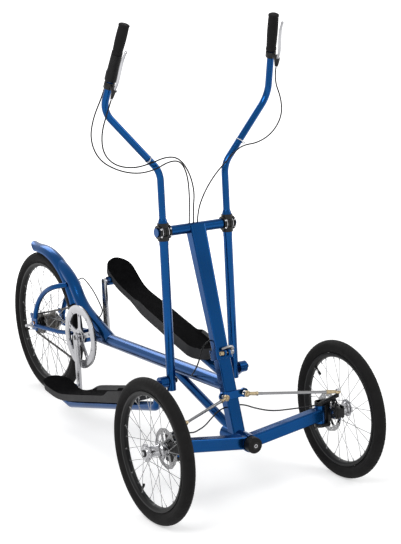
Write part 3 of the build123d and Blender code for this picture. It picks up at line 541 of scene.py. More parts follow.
def front_hub(side, s, body, centre):
    out = Y * s
    shape = Shape()
    shell = [(-45, 11), (-45, 24), (-41, 24), (-40, 20), (-30, 20), (-28.8, 30), (-25.4, 30), (-24, 23),
             (-17, 18), (17, 18), (24, 23), (25.4, 30), (28.8, 30), (30, 21), (34, 19), (35, 13)]
    shape.lathe(shell, centre, out, 48)
    shape.lathe([(35, 12.5), (38, 12), (38, 7.5), (36.5, 7)], centre, out, 32, 1)
    shape.cap_bolt(centre + out * 36, out, 6.6, 3.6, 0, 1)
    # black plugs through the flanges stand for the spoke holes, which are not cut: painted shade of the holes
    holes = FRONT_SPOKES // 2
    for flange_y in (-27.1, 27.1):
        for a in full_turn(holes):
            place = centre + out * flange_y + radial(a + pi / 2 / holes) * 26
            shape.lathe([(-2.2, 1.6), (2.2, 1.6)], place, out, 8, 1, smooth=False)
    shape.plate(rotor_outlines(), 2, centre + out * ROTOR_OFFSET, X, out, 0.2, 2)
    for a in full_turn(6):
        place = centre + out * (ROTOR_OFFSET - 1) + radial(a + 0.3) * 21
        shape.cap_bolt(place, -out, 3.6, 2.4, 1, 1)
    shape.piece(f"front_{side}_hub", body, [SILVER, BLACK_METAL, BRIGHT], [f"hub_front_{side}"], "silver")


def toothed(teeth, stations):
    """A gear's edge from (height over the pitch circle, share of a tooth) stations on each tooth."""
    step = 2 * pi / teeth
    return [polar(PITCH / step + rise, (k + part) * step) for k in range(teeth) for rise, part in stations]


def rear_hub(body, centre):
    shape = Shape()
    shell = [(-31, 18), (-31, 45), (-27.4, 45), (-26, 36)]
    for k in range(7):
        y = -22 + 6.2 * k
        shell += [(y, 34.6), (y + 2.6, 34.6), (y + 3.2, 31.8), (y + 5.6, 31.8)]
    shell += [(26, 36), (27.4, 45), (31, 45), (32, 26), (44, 24), (52, 21), (52.8, 8)]
    shape.lathe(shell, centre, Y, 64)
    stations = ((-3.6, -0.26), (0.6, -0.12), (0.9, 0.12), (-3.6, 0.26))
    edges = [toothed(COG_TEETH, stations), circle(7)]
    shape.plate(edges, 2.2, centre + Y * CHAIN_Y, X, -Y, 0.2, 1)
    driver = [(-53, 9), (-53, 19), (-49, 20), (-45, 24), (-36, 24), (-33, 27), (-31.5, 27)]
    shape.lathe(driver, centre, Y, 48, 1)
    shape.piece("rear_hub", body, [DARK_ALLOY, BLACK_METAL], ["hub_rear"], "silver")


def front_wheel(side, s):
    name = f"front_{side}"
    body = f"wheel_front_{side}"
    centre = joint_at(f"front_{side}_wheel_spin")
    bead = FRONT_RADIUS - TYRE_HEIGHT
    tyre(name, body, centre, FRONT_RADIUS, 84)
    rim(name, body, centre, bead, FRONT_SPOKES, radians(-118 if s < 0 else 140))
    spokes(name, body, centre, FRONT_SPOKES, 26, 27, bead - RIM_DEPTH - 0.8)
    front_hub(side, s, body, centre)


def rear_wheel():
    bead = REAR_RADIUS - TYRE_HEIGHT
    tyre("rear", "wheel_rear", REAR_AT, REAR_RADIUS, 100)
    rim("rear", "wheel_rear", REAR_AT, bead, REAR_SPOKES, radians(200))
    spokes("rear", "wheel_rear", REAR_AT, REAR_SPOKES, 40, 29, bead - RIM_DEPTH - 0.8)
    rear_hub("wheel_rear", REAR_AT)


# drive


def crank_pin(s):
    return Vector((CRANK_AT.x, 0, CRANK_AT.z)) + radial(PHASE + pi / 2) * s * CRANK_LENGTH


def rounded_link(length, first, last, steps):
    """Two half circles a length apart, as the ends of an outline."""
    turns = [radians(90 + 180 * k / steps) for k in range(steps + 1)]
    back = [polar(first, a) for a in turns]
    front = [(length - last * cos(a), -last * sin(a)) for a in turns]
    return back, front


def crank_arm(side, s):
    """Forged arm, wide at the spindle and tapering to the pin."""
    pin = crank_pin(s)
    out = Y * s
    centre = CRANK_AT + out * CRANK_Y
    reach = (pin - CRANK_AT).normalized()
    shape = Shape()
    back, front = rounded_link(CRANK_LENGTH, 19, 13.5, 14)
    shape.plate([back + front], 12, centre, reach, out, 1.8)
    groove = [(34, 7.5), (CRANK_LENGTH - 30, 5.2), (CRANK_LENGTH - 26, 0), (CRANK_LENGTH - 30, -5.2),
              (34, -7.5), (29, 0)]
    shape.plate([groove], 1.2, centre + out * 6.2, reach, out, 0.5)
    shape.lathe([(5.5, 13), (7, 13), (7, 10.5), (6.2, 10)], centre, out, 32)
    shape.cap_bolt(centre + out * 5.6, out, 9, 2.2, 1, 1)
    eye = pin + out * CRANK_Y
    shape.lathe([(0, 8), (14.6, 8)], eye, out, 24)
    shape.cap_bolt(eye - out * 5.6, -out, 8, 1.4, 1, 1)
    if s > 0:
        shape.tube([CRANK_AT - out * CRANK_Y, CRANK_AT + out * CRANK_Y], 10, 24)
    nodes = ["crank_arms"] if s > 0 else []
    shape.piece(f"crank_arm_{side}", "crank", [SILVER, BLACK_METAL], nodes, "silver")


def chainwheel():
    """Toothed ring behind a bright guard whose five arms leave rounded windows."""
    centre = CRANK_AT + Y * CHAIN_Y
    arms = [18 + 72 * k for k in range(5)]
    shape = Shape()
    stations = ((-3.6, -0.28), (0.4, -0.1), (0.4, 0.1), (-3.6, 0.28))
    shape.plate([toothed(RING_TEETH, stations), circle(96, 80)], 2, centre, X, -Y, 0.2, 1)
    cuts = [circle(GUARD_RADIUS - 0.2, 120)]
    for arm in arms:
        window = [polar(95, radians(arm + turn)) for turn in (6.4, 21, 36, 51, 65.6)]
        window += [polar(35, radians(arm + turn)) for turn in (54, 36, 18)]
        cuts.append(softened(window, 11))
        cuts.append(circle(5.2, 20, polar(86, radians(arm))))
    cuts.append(circle(10.3, 32))
    shape.plate(cuts, 4, centre - Y * 6, X, -Y, 0.8)
    lip = [(-6.0, 99), (-8.8, 100), (-9.2, 104), (-9.2, 124), (-8.6, 126.5), (-6, 127)]
    shape.lathe(lip, centre, Y, 120, closed=True)
    hub = [(-5.9, 11), (-5.9, 28), (-9.5, 25), (-11, 20), (-11, 11)]
    shape.lathe(hub, centre, Y, 48, closed=True)
    for arm in arms:
        place = centre + radial(-radians(arm)) * 103 - Y * 9.1
        shape.cap_bolt(place, -Y, 5, 1.6, 0, 1)
    spacer = [(-4.2, 98), (-1, 98), (-1, 106), (-4.2, 106)]
    shape.lathe(spacer, centre, Y, 80, 1, closed=True)
    shape.piece("drive_ring", "crank", [SILVER, BLACK_METAL], ["chainwheel"], "silver")


def chain_places():
    """Even steps of one pitch along the loop over the big ring and the cog."""
    gap_x = CRANK_AT.x - REAR_AT.x
    gap_z = CRANK_AT.z - REAR_AT.z
    span = hypot(gap_x, gap_z)
    lean = atan2(gap_z, gap_x)
    opened = asin((RING_PITCH - COG_PITCH) / span)
    straight = span * cos(opened)
    low = lean - pi / 2 - opened
    high = lean + pi / 2 + opened
    wrap_big = RING_PITCH * (pi + 2 * opened)
    wrap_small = COG_PITCH * (pi - 2 * opened)
    total = 2 * straight + wrap_big + wrap_small
    count = round(total / PITCH / 2) * 2
    ring = CRANK_AT + Y * CHAIN_Y
    cog = REAR_AT + Y * CHAIN_Y
    runs = ((wrap_big, ring, RING_PITCH, low, True), (straight, ring, RING_PITCH, high, False),
            (wrap_small, cog, COG_PITCH, high, True), (straight, cog, COG_PITCH, low, False))
    found = []
    for k in range(count):
        left = total * k / count
        for length, centre, radius, turn, wraps in runs:
            if left < length:
                break
            left -= length
        if wraps:
            found.append(centre + radial(turn + left / radius) * radius)
        else:
            found.append(centre + radial(turn) * radius + radial(turn + pi / 2) * left)
    return found


def chain():
    places = chain_places()
    shape = Shape()
    back, front = rounded_link(PITCH, 3.9, 3.9, 6)
    outline = [(a - PITCH / 2, b) for a, b in back + [(PITCH / 2, -2.9)] + front + [(PITCH / 2, 2.9)]]
    roller = [(-2.4, 1.8), (-1.0, 1.8), (-1.0, 3.6), (1.0, 3.6), (1.0, 1.8), (2.4, 1.8)]
    for k, place in enumerate(places):
        after = places[(k + 1) % len(places)]
        along = (after - place).normalized()
        up = Vector((-along.z, 0, along.x))
        middle = (place + after) / 2
        offset = 2.0 if k % 2 == 0 else 1.0
        for s in (-1, 1):
            rows = []
            for y in (offset * s, (offset + 0.8) * s):
                rows.append([middle + along * a + up * b + Y * y for a, b in outline])
            shape.rings(rows, smooth=False)
        shape.lathe(roller, place, Y, 8)
    shape.piece("drive_chain", "frame", [CHAIN_STEEL], ["chain"], "chain_steel")


# foot platforms


PAD_HEEL = -70
PAD_TOE_SHORT = 200
PAD_KINK = 80
PAD_THICK = 27
PAD_DROP = -31
PAD_FALL = tan(radians(2.7))
PAD_RISE = tan(radians(25))
PAD_WALL_HEIGHT = 18
PAD_STATIONS = 90


def ease(value, low, high):
    t = max(0.0, min(1.0, (value - low) / (high - low)))
    return t * t * (3 - 2 * t)


def pad_low(u):
    """Height of the pad's underside, with the heel curving up behind the kink."""
    soft = 45 / 2.2
    past = u - PAD_KINK
    bend = soft * log1p(exp(-past / soft))
    return PAD_DROP - PAD_FALL * past * ease(past, -40, 40) + PAD_RISE * bend


def pad_half(u, toe):
    """Half of the pad's width at a place along it, and where its middle lies."""
    u = min(max(u, PAD_HEEL + 0.05), toe - 0.05)
    waist = exp(-(((u - 130) / 95) ** 2))
    half = 58.5 - 11.5 * waist + 2.5 * ease(u, 380, 560)
    end = max(0.0, 1 - (u - PAD_HEEL) / 62, 1 - (toe - u) / 70)
    return half * sqrt(1 - end ** 2.2), 152 + 6.5 * waist


def foot_pad(side, s):
    pin = crank_pin(s)
    reach = Vector((HINGE_AT.x - pin.x, 0, HINGE_AT.z - pin.z))
    along = reach.normalized()
    up = Vector((-along.z, 0, along.x))
    toe = reach.length - PAD_TOE_SHORT
    rows = []
    for k in range(PAD_STATIONS + 1):
        u = PAD_HEEL + (toe - PAD_HEEL) * (0.5 - 0.5 * cos(pi * k / PAD_STATIONS))
        half, middle = pad_half(u, toe)
        top = []
        under = []
        for j in range(15):
            q = -1 + j / 7
            inner_wall = ease(u, 150, 230) * ease(-q, 0.80, 0.93)
            outer_wall = ease(u, 480, 540) * ease(q, 0.80, 0.93)
            wall = max(inner_wall, outer_wall, ease(u, toe - 34, toe - 14)) * ease(u, 120, 260)
            edge = 1.6 * (1 - ease(1 - abs(q), 0.0, 0.05))
            place = pin + along * u + up * pad_low(u) + Y * s * (middle + half * q)
            top.append(place + up * (PAD_THICK + wall * PAD_WALL_HEIGHT - edge))
            under.append(place)
        rows.append(top + under[::-1])
    shape = Shape()
    shape.rings(rows)
    shape.bm.normal_update()
    for face in shape.bm.faces:
        face.material_index = 0 if abs(face.normal.dot(up)) > 0.75 else 1
    shape.piece(f"foot_pad_{side}", f"platform_{side}", [PAD_TOP, PAD_WALL], [f"pad_{side}"],
                "black_plastic")


# hand controls


def grip_frame(s):
    """Top of a handlebar, with the ways up and forward there."""
    top = mirrored(GRIP_TOP, s)
    up = (top - mirrored(UPPER_BEND, s)).normalized()
    return top, up, (X - up * up.x).normalized()


def shifter_frame():
    """Upper end of the twist shifter and its cable boss, with the ways up and forward there."""
    top, up, fore = grip_frame(-1)
    start = top - up * (GRIP_LENGTHS["right"] + 1)
    return start, start - up * (SHIFTER_LENGTH - 14), up, fore


def lever_frame(side, s):
    """Middle of a brake lever's clamp, its cable end, the cable's way, and the ways up and forward."""
    top, up, fore = grip_frame(s)
    below = GRIP_LENGTHS[side] + 15
    if s < 0:
        below += SHIFTER_LENGTH + 1
    ring = top - up * below
    return ring, ring + (fore - up) * 36, (-up * 9 - fore).normalized(), up, fore


def swelling(line, ends, more):
    """Radii along a line that swell towards its middle."""
    return [ends + more * sin(pi * k / (len(line) - 1)) for k in range(len(line))]


def grip(side, s):
    top, up = grip_frame(s)[:2]
    length = GRIP_LENGTHS[side]
    profile = [(0.6, 0.4), (0.9, 12.6), (0.2, 15.8), (-1.5, 18.6), (-4, 18.9), (-7, 18.4), (-9, 17.2)]
    steps = length - 24
    for k in range(steps + 1):
        swell = 17.0 + 1.9 * sin(pi * (0.15 + 0.8 * k / steps)) - 0.28 * (k % 3 == 0)
        profile.append((-10 - k, swell))
    profile += [(12 - length, 16.8), (9 - length, 18.4), (1 - length, 18.6), (-length, 17.6),
                (-length, 12.8)]
    shape = Shape()
    shape.lathe(profile, top, up, 48)
    shape.piece(f"rubber_grip_{side}", f"lever_{side}", [GRIP_RUBBER], [f"grip_{side}"],
                "black_plastic", 50)


def twist_shifter():
    start, boss, up, fore = shifter_frame()
    profile = [(0, 13)]
    for k in range(56):
        profile.append((-k, 18.6 + 0.012 * k - (0.5 if k % 4 == 0 else 0.0)))
    profile += [(-57, 19.6), (-60, 20.6), (-64, 21), (-88, 21), (-93, 19.5), (-94, 13)]
    shape = Shape()
    shape.lathe(profile, start, up, 48)
    shape.tube([boss - fore * 15, boss - fore * 21, boss - fore * 25], [9, 8, 6.5], 20)
    foot = boss - fore * 24
    shape.tube([foot + up * 3, foot - up * 16, foot - up * 24], [5, 4.4, 3.4], 16)
    shape.piece("twist_grip_shifter", "lever_right", [PLASTIC], ["twist_shifter"], "black_plastic", 50)


def brake_lever(side, s):
    ring, tip, way, up, fore = lever_frame(side, s)
    across = up.cross(fore)
    shape = Shape()
    clamp = [(-11, 13), (-11, 17.4), (-9, 18.4), (9, 18.4), (11, 17.4), (11, 13)]
    shape.lathe(clamp, ring, up, 40, closed=True)
    neck = [ring + fore * 15, ring + fore * 26 - up * 2, ring + fore * 38 - up * 6]
    shape.tube(neck, [10, 8.5, 9.5], 20, flat=0.8)
    body = [(34, 12), (37, 6), (38, -8), (37.5, -22), (36.8, -31)]
    shape.tube([ring + fore * f + up * h for f, h in body], [6, 9.5, 10, 8, 6], 20, flat=0.75)
    adjuster = [(-9, 3), (-9, 5), (-6, 5), (-6, 4.2), (-3, 5), (0, 4.6), (0, 2)]
    shape.lathe(adjuster, tip, way, 20, 1, smooth=False)
    blade = [(40, -4), (47, 14), (49, 38), (46, 70), (45, 104), (49, 124), (53, 138)]
    line = smooth_line([ring + fore * f + up * h for f, h in blade], 10)
    shape.tube(line, swelling(line, 3.6, 1), 16, 1, flat=1.3)
    shape.lathe([(-5.4, 1), (-4, 4), (0, 5.6), (4, 4), (5.4, 1)], line[-1], up, 20, 1)
    shape.cap_bolt(ring + fore * 40 - up * 4 + across * 7, across, 4, 3, 1, 0)
    shape.cap_bolt(ring + fore * 24 + across * 6.5, across, 3.4, 3, 1, 0)
    shape.piece(f"brake_lever_set_{side}", f"lever_{side}", [BLACK_METAL, SILVER],
                [f"brake_lever_{side}"], "silver")


# cables, along control points


BAR_TOP = BAR[2] + CROSSBAR_RADIUS
BRAKE_ROUTES = {
    "right": [(-331, -350, 1255), (-352, -335, 1185), (-366, -285, 1138), (-347, -225, 1124),
              (-319, -172, 1139), (-308, -118, 1158), (-303, -70, 1150), (-292, -38, 1100),
              (-297, -16, 1030), (BAR[0] + 5, -10, 965), (BAR[0] + 2, -9, BAR_TOP)],
    "left": [(-274, 334, 1322), (-262, 328, 1262), (-272, 295, 1205), (-294, 248, 1172),
             (-319, 197, 1165), (-309, 150, 1140), (-307, 118, 1114), (-312, 82, 1080),
             (-318, 48, 1034), (-321, 22, 985), (BAR[0] + 1, 10, 945), (BAR[0], 8, BAR_TOP)]}
SHIFT_ROUTE = [(-388, -350, 1300), (-402, -356, 1225), (-402, -325, 1155), (-384, -265, 1116),
               (-346, -212, 1104), (-310, -165, 1116), (-296, -112, 1144), (-291, -70, 1140),
               (-298, -42, 1090), (-310, -29, 1020), (BAR[0] + 3, -25, 962), (BAR[0] - 2, -24, BAR_TOP)]
FRONT_BRAKE_ROUTE = [(-116, 22, 300), (-115, 48, 298), (-103, 88, 279), (-70, 138, 267), (-20, 190, 279),
                     (26, 236, 291), (48, 272, 303), (57, 297, 308), (61, 313, 301), (62, 314, 285)]
SHIFT_STRETCHES = (
    [(-205, -23, 520), (-207, -44, 514), (-222, -52, 480), (-244, -50, 436), (-276, -48, 396),
     (-309, -46, 368), (-312, -24, 365)],
    [(-1113, 16, 405), (-1106, 34, 424), (-1150, 41, 453), (-1205, 46, 488), (-1265, 50, 514),
     (-1318, 55, 525), (-1353, 58.3, 512.4), (-1405, 61.6, 489.2)])


def spots(places):
    return [spot(*place) for place in places]


def upper_cables(side, s):
    """Cables from the hand controls along the handlebar and into the crossbar."""
    tip, way = lever_frame(side, s)[1:3]
    routes = [[tip - way * 2, tip + way * 50] + spots(BRAKE_ROUTES[side])]
    node = "cable_left"
    if s < 0:
        boss, up, fore = shifter_frame()[1:]
        foot = boss - fore * 24 - up * 22
        routes.append([foot, foot - up * 47] + spots(SHIFT_ROUTE))
        node = "cables_right"
    for k, route in enumerate(routes):
        shape = Shape()
        shape.tube(smooth_line(route, 14), CABLE_RADIUS, 10)
        nodes = [] if k else [node]
        shape.piece(f"control_cable_{side}_{k + 1}", f"lever_{side}", [CABLE], nodes, "cable_black")


def brake_lines(side, s):
    """Front brake cable in two stretches."""
    line = smooth_line([mirrored(place, s) for place in FRONT_BRAKE_ROUTE], 14)
    split = next(k for k, point in enumerate(line) if abs(point.y) > 220)
    spans = (("inner", line[:split + 1], "frame", "axle", (-116, 24, 300), (-10, 185, 281)),
             ("outer", line[split:], "axle", f"knuckle_{side}", (24, 234, 291), (58, 300, 306)))
    for part, points, before, after, start, end in spans:
        shape = Shape()
        shape.tube(points, CABLE_RADIUS, 10)
        nodes = ["front_brake_cables"] if s < 0 and part == "inner" else []
        piece = shape.piece(f"front_brake_line_{side}_{part}", None, [CABLE], nodes, "cable_black")
        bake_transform(piece)


def shift_line():
    shape = Shape()
    for route in SHIFT_STRETCHES:
        shape.tube(smooth_line(spots(route), 14), CABLE_RADIUS, 10)
    shape.piece("shift_line", "frame", [CABLE], ["shift_cable"], "cable_black")


def cable_tie(side, s):
    """Pale strap around a handlebar and the cable beside it."""
    y, z = {"right": (-172, 1139), "left": (197, 1165)}[side]
    low = mirrored(LOWER_BEND, s)
    high = mirrored(UPPER_BEND, s)
    centre = high.lerp(low, (y - high.y) / (low.y - high.y))
    way = (low - high).normalized()
    across = side_of(way)
    up = way.cross(across)
    reach = spot(-319, y, z) - centre
    reach -= way * reach.dot(way)
    rows = []
    for a in full_turn(40):
        out = across * cos(a) + up * sin(a)
        pull = max(0.0, out.dot(reach.normalized())) ** 6
        radius = (HANDLEBAR_RADIUS + 0.35) * (1 - pull) + (reach.length + CABLE_RADIUS + 0.6) * pull
        corners = ((-1.6, 0), (1.6, 0), (1.6, 1.0), (-1.6, 1.0))
        rows.append([centre + out * (radius + d) + way * h for h, d in corners])
    shape = Shape()
    shape.rings(rows, closed=True, smooth=False)
    shape.piece(f"cable_tie_{side}", f"lever_{side}", [CLEAR_TIE], slot="cable_black")


# steering gear


def pin_way(s):
    """The lean of the pin at a tie rod's outer end."""
    return Vector((0, s * sin(PIN_LEAN), cos(PIN_LEAN)))


def tie_rod(side, s):
    ball = mirrored(BALL, s)
    inner = mirrored(ROD_INNER, s)
    along = (inner - ball).normalized()
    span = (inner - ball).length
    shape = Shape()
    bar = [(38, 5.4), (52, 5.4), (56, 5), (span - 56, 5), (span - 52, 5.4), (span - 38, 5.4)]
    shape.lathe(bar, ball, along, 24)
    for place, way, axis in ((ball, along, pin_way(s)), (inner, -along, X)):
        shape.tube([place + way * 9, place + way * 20, place + way * 32], [6, 6.6, 6.6], 20, 1)
        shape.lathe([(32, 8), (38, 8)], place, way, 6, 1, smooth=False)
        eye = [(-4.4, 6.2), (-4.4, 9.6), (-3.4, 11), (3.4, 11), (4.4, 9.6), (4.4, 6.2)]
        shape.lathe(eye, place, axis, 32, 1, closed=True)
        bearing = [(-4.5, 4.05), (-4.4, 5.0), (-2.6, 6.0), (2.6, 6.0), (4.4, 5.0), (4.5, 4.05)]
        shape.lathe(bearing, place, axis, 24, closed=True)
    shape.tube([inner + X * 5.5, inner - X * 25], 4, 16)
    shape.hex_bolt(inner + X * 4.5, X, 12, 5, 1)
    shape.piece(f"steering_rod_{side}", f"tie_rod_{side}", [CHROME, ZINC], [f"tie_rod_{side}"],
                "plated_steel")


def rounded_box(left, low, right, high, radius):
    return softened([(left, low), (right, low), (right, high), (left, high)], radius)


def knuckle(side, s):
    """Forged steering knuckle with kingpin caps, stub axle and steering arm."""
    out = Y * s
    pivot = spot(0, s * KINGPIN_Y, FRONT_RADIUS)
    web = spot(0, s * WEB_Y, FRONT_RADIUS)
    ball = mirrored(BALL, s)
    pin = pin_way(s)
    shape = Shape()
    outline = [(-19.6, 34.4), (-19.6, 0)]
    for k in range(1, 12):
        a = pi + pi * k / 12
        outline.append((19.6 * cos(a), 18.6 * sin(a)))
    outline += [(19.6, 0), (19.6, 34.4)]
    for level in (-40, 40):
        place = pivot + Z * level
        shape.plate([softened(outline, 6)], 12, place, X, Z * s, 1.6)
        shape.lathe([(5.5, 15), (6.0, 15), (6.0, 12)], place, Z * level, 32)
    shape.plate([rounded_box(-19.6, -45.6, 19.6, 45.6, 8)], 10, web, X, -out, 1.6)
    shape.lathe([(0, 14), (10, 13), (12, 10), (HUB_END - WEB_Y - 12, 10)], web, out, 28)
    shape.tube([pivot - Z * 38, pivot + Z * 38], 8, 20, 1)
    arm = [pivot + Vector((8, 0, 40)), pivot + Vector((34, s * 7, 55)), ball - pin * 13]
    shape.tube(smooth_line(arm, 8), 7.6, 20)
    shape.lathe([(-19, 5), (-18, 6.4), (-5.2, 6.4), (-5.2, 4)], ball, pin, 24)
    shape.tube([ball - pin * 6, ball + pin * 9.8], 3.9, 16, 1)
    shape.lathe([(4.7, 6.8), (9.3, 6.8), (9.9, 5.6)], ball, pin, 6, 1, smooth=False)
    shape.plate([rounded_box(14, 5, 38.4, 23, 4)], 8, web - out * 2, X, -Y, 0.8)
    shape.piece(f"steering_knuckle_{side}", f"knuckle_{side}", [BLACK_METAL, SILVER], [f"knuckle_{side}"],
                "black_metal")


def caliper(side, s):
    """Brake caliper around the disc's front edge."""
    out = Y * s
    disc = spot(0, s * ROTOR_Y, FRONT_RADIUS)
    shape = Shape()
    half = rounded_box(-18.6, -22.4, 18.6, 22.4, 11)
    shape.plate([half], 22, disc + Vector((58, s * -15.6, 16)), X, -out, 3.2)
    shape.plate([half], 5, disc + Vector((58, s * 7.3, 16)), X, -out, 1.2)
    bridge = rounded_box(-14, -15, 9.4, 15, 4)
    shape.plate([bridge], 3.6, disc + Vector((74.9, 0, 16)), out, X, 0.8)
    piston = disc + Vector((60, s * -20, 18))
    shape.lathe([(-2, 13.8), (7, 13.8), (9, 12.6), (9.8, 9), (9.6, 6)], piston, -out, 36)
    shape.cap_bolt(piston - out * 8.4, -out, 5, 1.6, 1, 0)
    for x, z in ((46, 32), (70, 0)):
        shape.cap_bolt(disc + Vector((x, s * -26.2, z)), -out, 4, 3, 1, 0)
    shape.piece(f"disc_caliper_{side}", f"knuckle_{side}", [BLACK_METAL, SILVER], [f"caliper_{side}"],
                "black_metal")


def front_end(side, s):
    knuckle(side, s)
    caliper(side, s)


# frame and fittings


def quick_release():
    """Clamp lever across the front of the mast's folding collar."""
    up = (spot(*BAR) - spot(*MAST_FOOT)).normalized()
    fore = Vector((up.z, 0, -up.x))
    lug = spot(*MAST_FOOT) + up * CLAMP_MIDDLE + fore * CLAMP_FACE
    shape = Shape()
    ear = [(0, -11), (14, -10), (18, -5), (18, 5), (14, 10), (0, 11)]
    for y in (-8, 8):
        shape.plate([ear], 8, lug + Y * y + fore * 0.4, fore, Y, 0.8, 2)
    axle = lug + fore * 10
    shape.tube([axle - Y * 26, axle + Y * 24], 3, 16, 1)
    nut = [(-26, 3), (-26, 7), (-22, 8), (-15, 8), (-13, 6), (-13, 3)]
    shape.lathe(nut, axle, Y, 20, 1)
    cam = [(12.5, 3), (12.5, 7.5), (15, 8.5), (24, 8.5), (26, 7), (26, 2)]
    shape.lathe(cam, axle, Y, 24)
    handle = [(20, 0, 0), (26, 10, 0), (22, 17, -1), (4, 17.5, 5), (-18, 15, 6)]
    line = smooth_line([axle + Y * a + up * b + fore * c for a, b, c in handle], 10)
    shape.tube(line, swelling(line, 4.2, 2.2), 14, flat=1.2)
    shape.piece("quick_release_lever", "frame", [CHROME, ZINC, BLUE], ["quick_release"], "silver")


def pivot_clamp(side, s):
    """Black clamp between lever and handlebar, with bright bushings between its plates."""
    up = Vector((-sin(LEVER_TILT), 0, cos(LEVER_TILT)))
    centre = spot(BAR[0], s * LEVER_Y, BAR[2])
    out = Y * s
    shape = Shape()
    barrel = [(-23, 10.3), (-23, 23.6), (-22, 24.8), (-16, 24.8), (-15.4, 21), (15.4, 21), (16, 24.8),
              (22, 24.8), (23, 23.6), (23, 10.3)]
    shape.lathe(barrel, centre, out, 48, closed=True)
    for y, half, look in ((-12, 1.1, 1), (-5, 3.6, 0), (5, 3.6, 0), (12, 1.1, 1)):
        band = [(y - half, 20.8), (y - half, 22.8), (y + half, 22.8), (y + half, 20.8)]
        shape.lathe(band, centre, out, 48, look, closed=True)
    for way, tube in ((up, HANDLEBAR_RADIUS), (-up, LEVER_RADIUS)):
        shape.lathe([(14, 20), (30, 20.4), (31, 19.6), (31, tube)], centre, way, 40)
        socket = [(30, 16.8), (34, 16.8), (46, tube + 0.7), (46, tube - 1)]
        shape.lathe(socket, centre, way, 40, 2)
    for lift in (-13, 13):
        for y in (-19, 19):
            shape.cap_bolt(centre + out * y + up * lift + X * 19.5, X, 3.4, 3.6, 1, 0)
    shape.piece(f"pivot_clamp_{side}", f"lever_{side}", [BLACK_METAL, SILVER, BLUE],
                [f"pivot_block_{side}"], "black_plastic")


def about_rear(lift, turn, y=0.0):
    """A place at a height over the fender's line and a turn in degrees about the rear axle."""
    return REAR_AT + radial(radians(turn)) * (FENDER_LINE + lift) + Y * y


def fender():
    """Half-round guard over the rear wheel whose tail lifts into a rounded bill."""
    first, last = 26, 94
    curl = 500
    tail = radians(9.5)
    bill = 60
    places = []
    for k in range(45):
        turn = first + (last - first) * k / 44
        places.append((about_rear(0, turn), radial(radians(turn)), 1.0))
    start, out, width = places[-1]
    way = Vector((-out.z, 0, out.x))
    for k in range(1, 33):
        b = tail * k / 32
        place = start + (way * sin(b) + out * (1 - cos(b))) * curl
        left = curl * (tail - b)
        width = sqrt(1 - max(0.0, 1 - left / bill) ** 2)
        places.append((place, out * cos(b) - way * sin(b), max(0.06, width)))
    rows = []
    for place, out, width in places:
        edge = acos(width)
        row = []
        for size, order in ((FENDER_RADIUS, range(25)), (FENDER_RADIUS - FENDER_SKIN, range(24, -1, -1))):
            for j in order:
                t = edge + (pi - 2 * edge) * j / 24
                row.append(place + (Y * cos(t) + out * sin(t)) * size)
        rows.append(row)
    shape = Shape()
    shape.rings(rows)
    shape.piece("rear_fender", "frame", [BLUE], ["fender"], "frame_blue")


def spine():
    """Tube from the main tube that sinks into the fender's crown."""
    foot = Vector((CRANK_AT.x + 170, 0, 340))
    bends = ((50, 23), (35, 39), (19, 51), (3, 64), (-4, 71))
    route = [foot, foot.lerp(about_rear(55, 20.5), 0.62)] + [about_rear(*bend) for bend in bends]
    line = smooth_line(route, 10)
    cover = FENDER_RADIUS - 1
    rows = []
    for point, way in zip(line, ways_along(line)):
        up = way.cross(Y)
        row = []
        for a in full_turn(44):
            place = point + (Y * cos(a) + up * sin(a)) * SPINE_RADIUS
            reach = place - REAR_AT
            turn = degrees(atan2(reach.z, reach.x))
            high = hypot(reach.x, reach.z) - FENDER_LINE
            if turn > 25 and hypot(max(high, 0), reach.y) < cover:
                rise = Vector((max(high, 3), reach.y)).normalized() * cover
                place = about_rear(rise.x, turn, rise.y)
            row.append(place)
        rows.append(row)
    shape = Shape()
    shape.rings(rows)
    shape.piece("spine", "frame", [BLUE], ["spine_tube"], "frame_blue")


def bowed_stays():
    shape = Shape()
    for s in (-1, 1):
        bow = ((14, DROPOUT_Y, 32), (32, 65, 88), (110, 64, 162), (205, 57, 203))
        places = [REAR_AT + Vector((x, s * y, z)) for x, y, z in bow]
        shape.tube(smooth_line(places + [about_rear(15, 41, s * 23)], 12), STAY_RADIUS, 24)
    shape.piece("bowed_stays", "frame", [BLUE], ["seat_stays"], "frame_blue")


def pivot_bolt():
    shape = Shape()
    face = spot(*PIVOT_CAP_FACE)
    dish = [(-1, 14), (0.8, 13.4), (1.2, 12), (0.3, 9.6), (0.3, 7)]
    shape.lathe(dish, face, X, 36, 1)
    ring = [(0.2, 7), (1.4, 6.6), (1.4, 3.8), (0.4, 3.4)]
    shape.lathe(ring, face, X, 28, closed=True)
    shape.piece("pivot_bolt", "frame", [SILVER, BLACK_METAL], slot="silver")


def rear_axle():
    """Washers, nuts and threaded ends outside the dropouts."""
    shape = Shape()
    for s in (-1, 1):
        out = Y * s
        face = REAR_AT + out * DROPOUT_FACE
        washer = [(0, 6.2), (0, 13.5), (3, 13.5), (3, 6.2)]
        shape.lathe(washer, face, out, 28, 1, closed=True)
        shape.hex_bolt(face + out * 3, out, 23, 9)
        shape.lathe([(12, 9.6), (14, 9.2), (15, 7.8), (15, 5.9)], face, out, 28)
        stub = [(-28, 5.9)]
        for k in range(12):
            stub += [(15.5 + 1.6 * k, 5.9), (16.3 + 1.6 * k, 5.3)]
        stub += [(35.2, 5.6), (36.4, 4.4), (36.5, 0.3)]
        shape.lathe(stub, face, out, 20)
    shape.piece("rear_axle_set", "frame", [SILVER, ORANGE], ["rear_axle"], "silver")


def hinge_bolts(side, s):
    out = Y * s
    hinge = Vector((HINGE_AT.x, s * LEVER_Y, HINGE_AT.z))
    shape = Shape()
    shape.hex_bolt(hinge - out * LEVER_RADIUS, -out, 16, 6)
    shape.cap_bolt(hinge + out * 54, out, 8, 5, 0, 0)
    shape.piece(f"hinge_bolts_{side}", f"lever_{side}", [BLACK_METAL], slot="black_metal")


# finishes of the carried-over CAD nodes


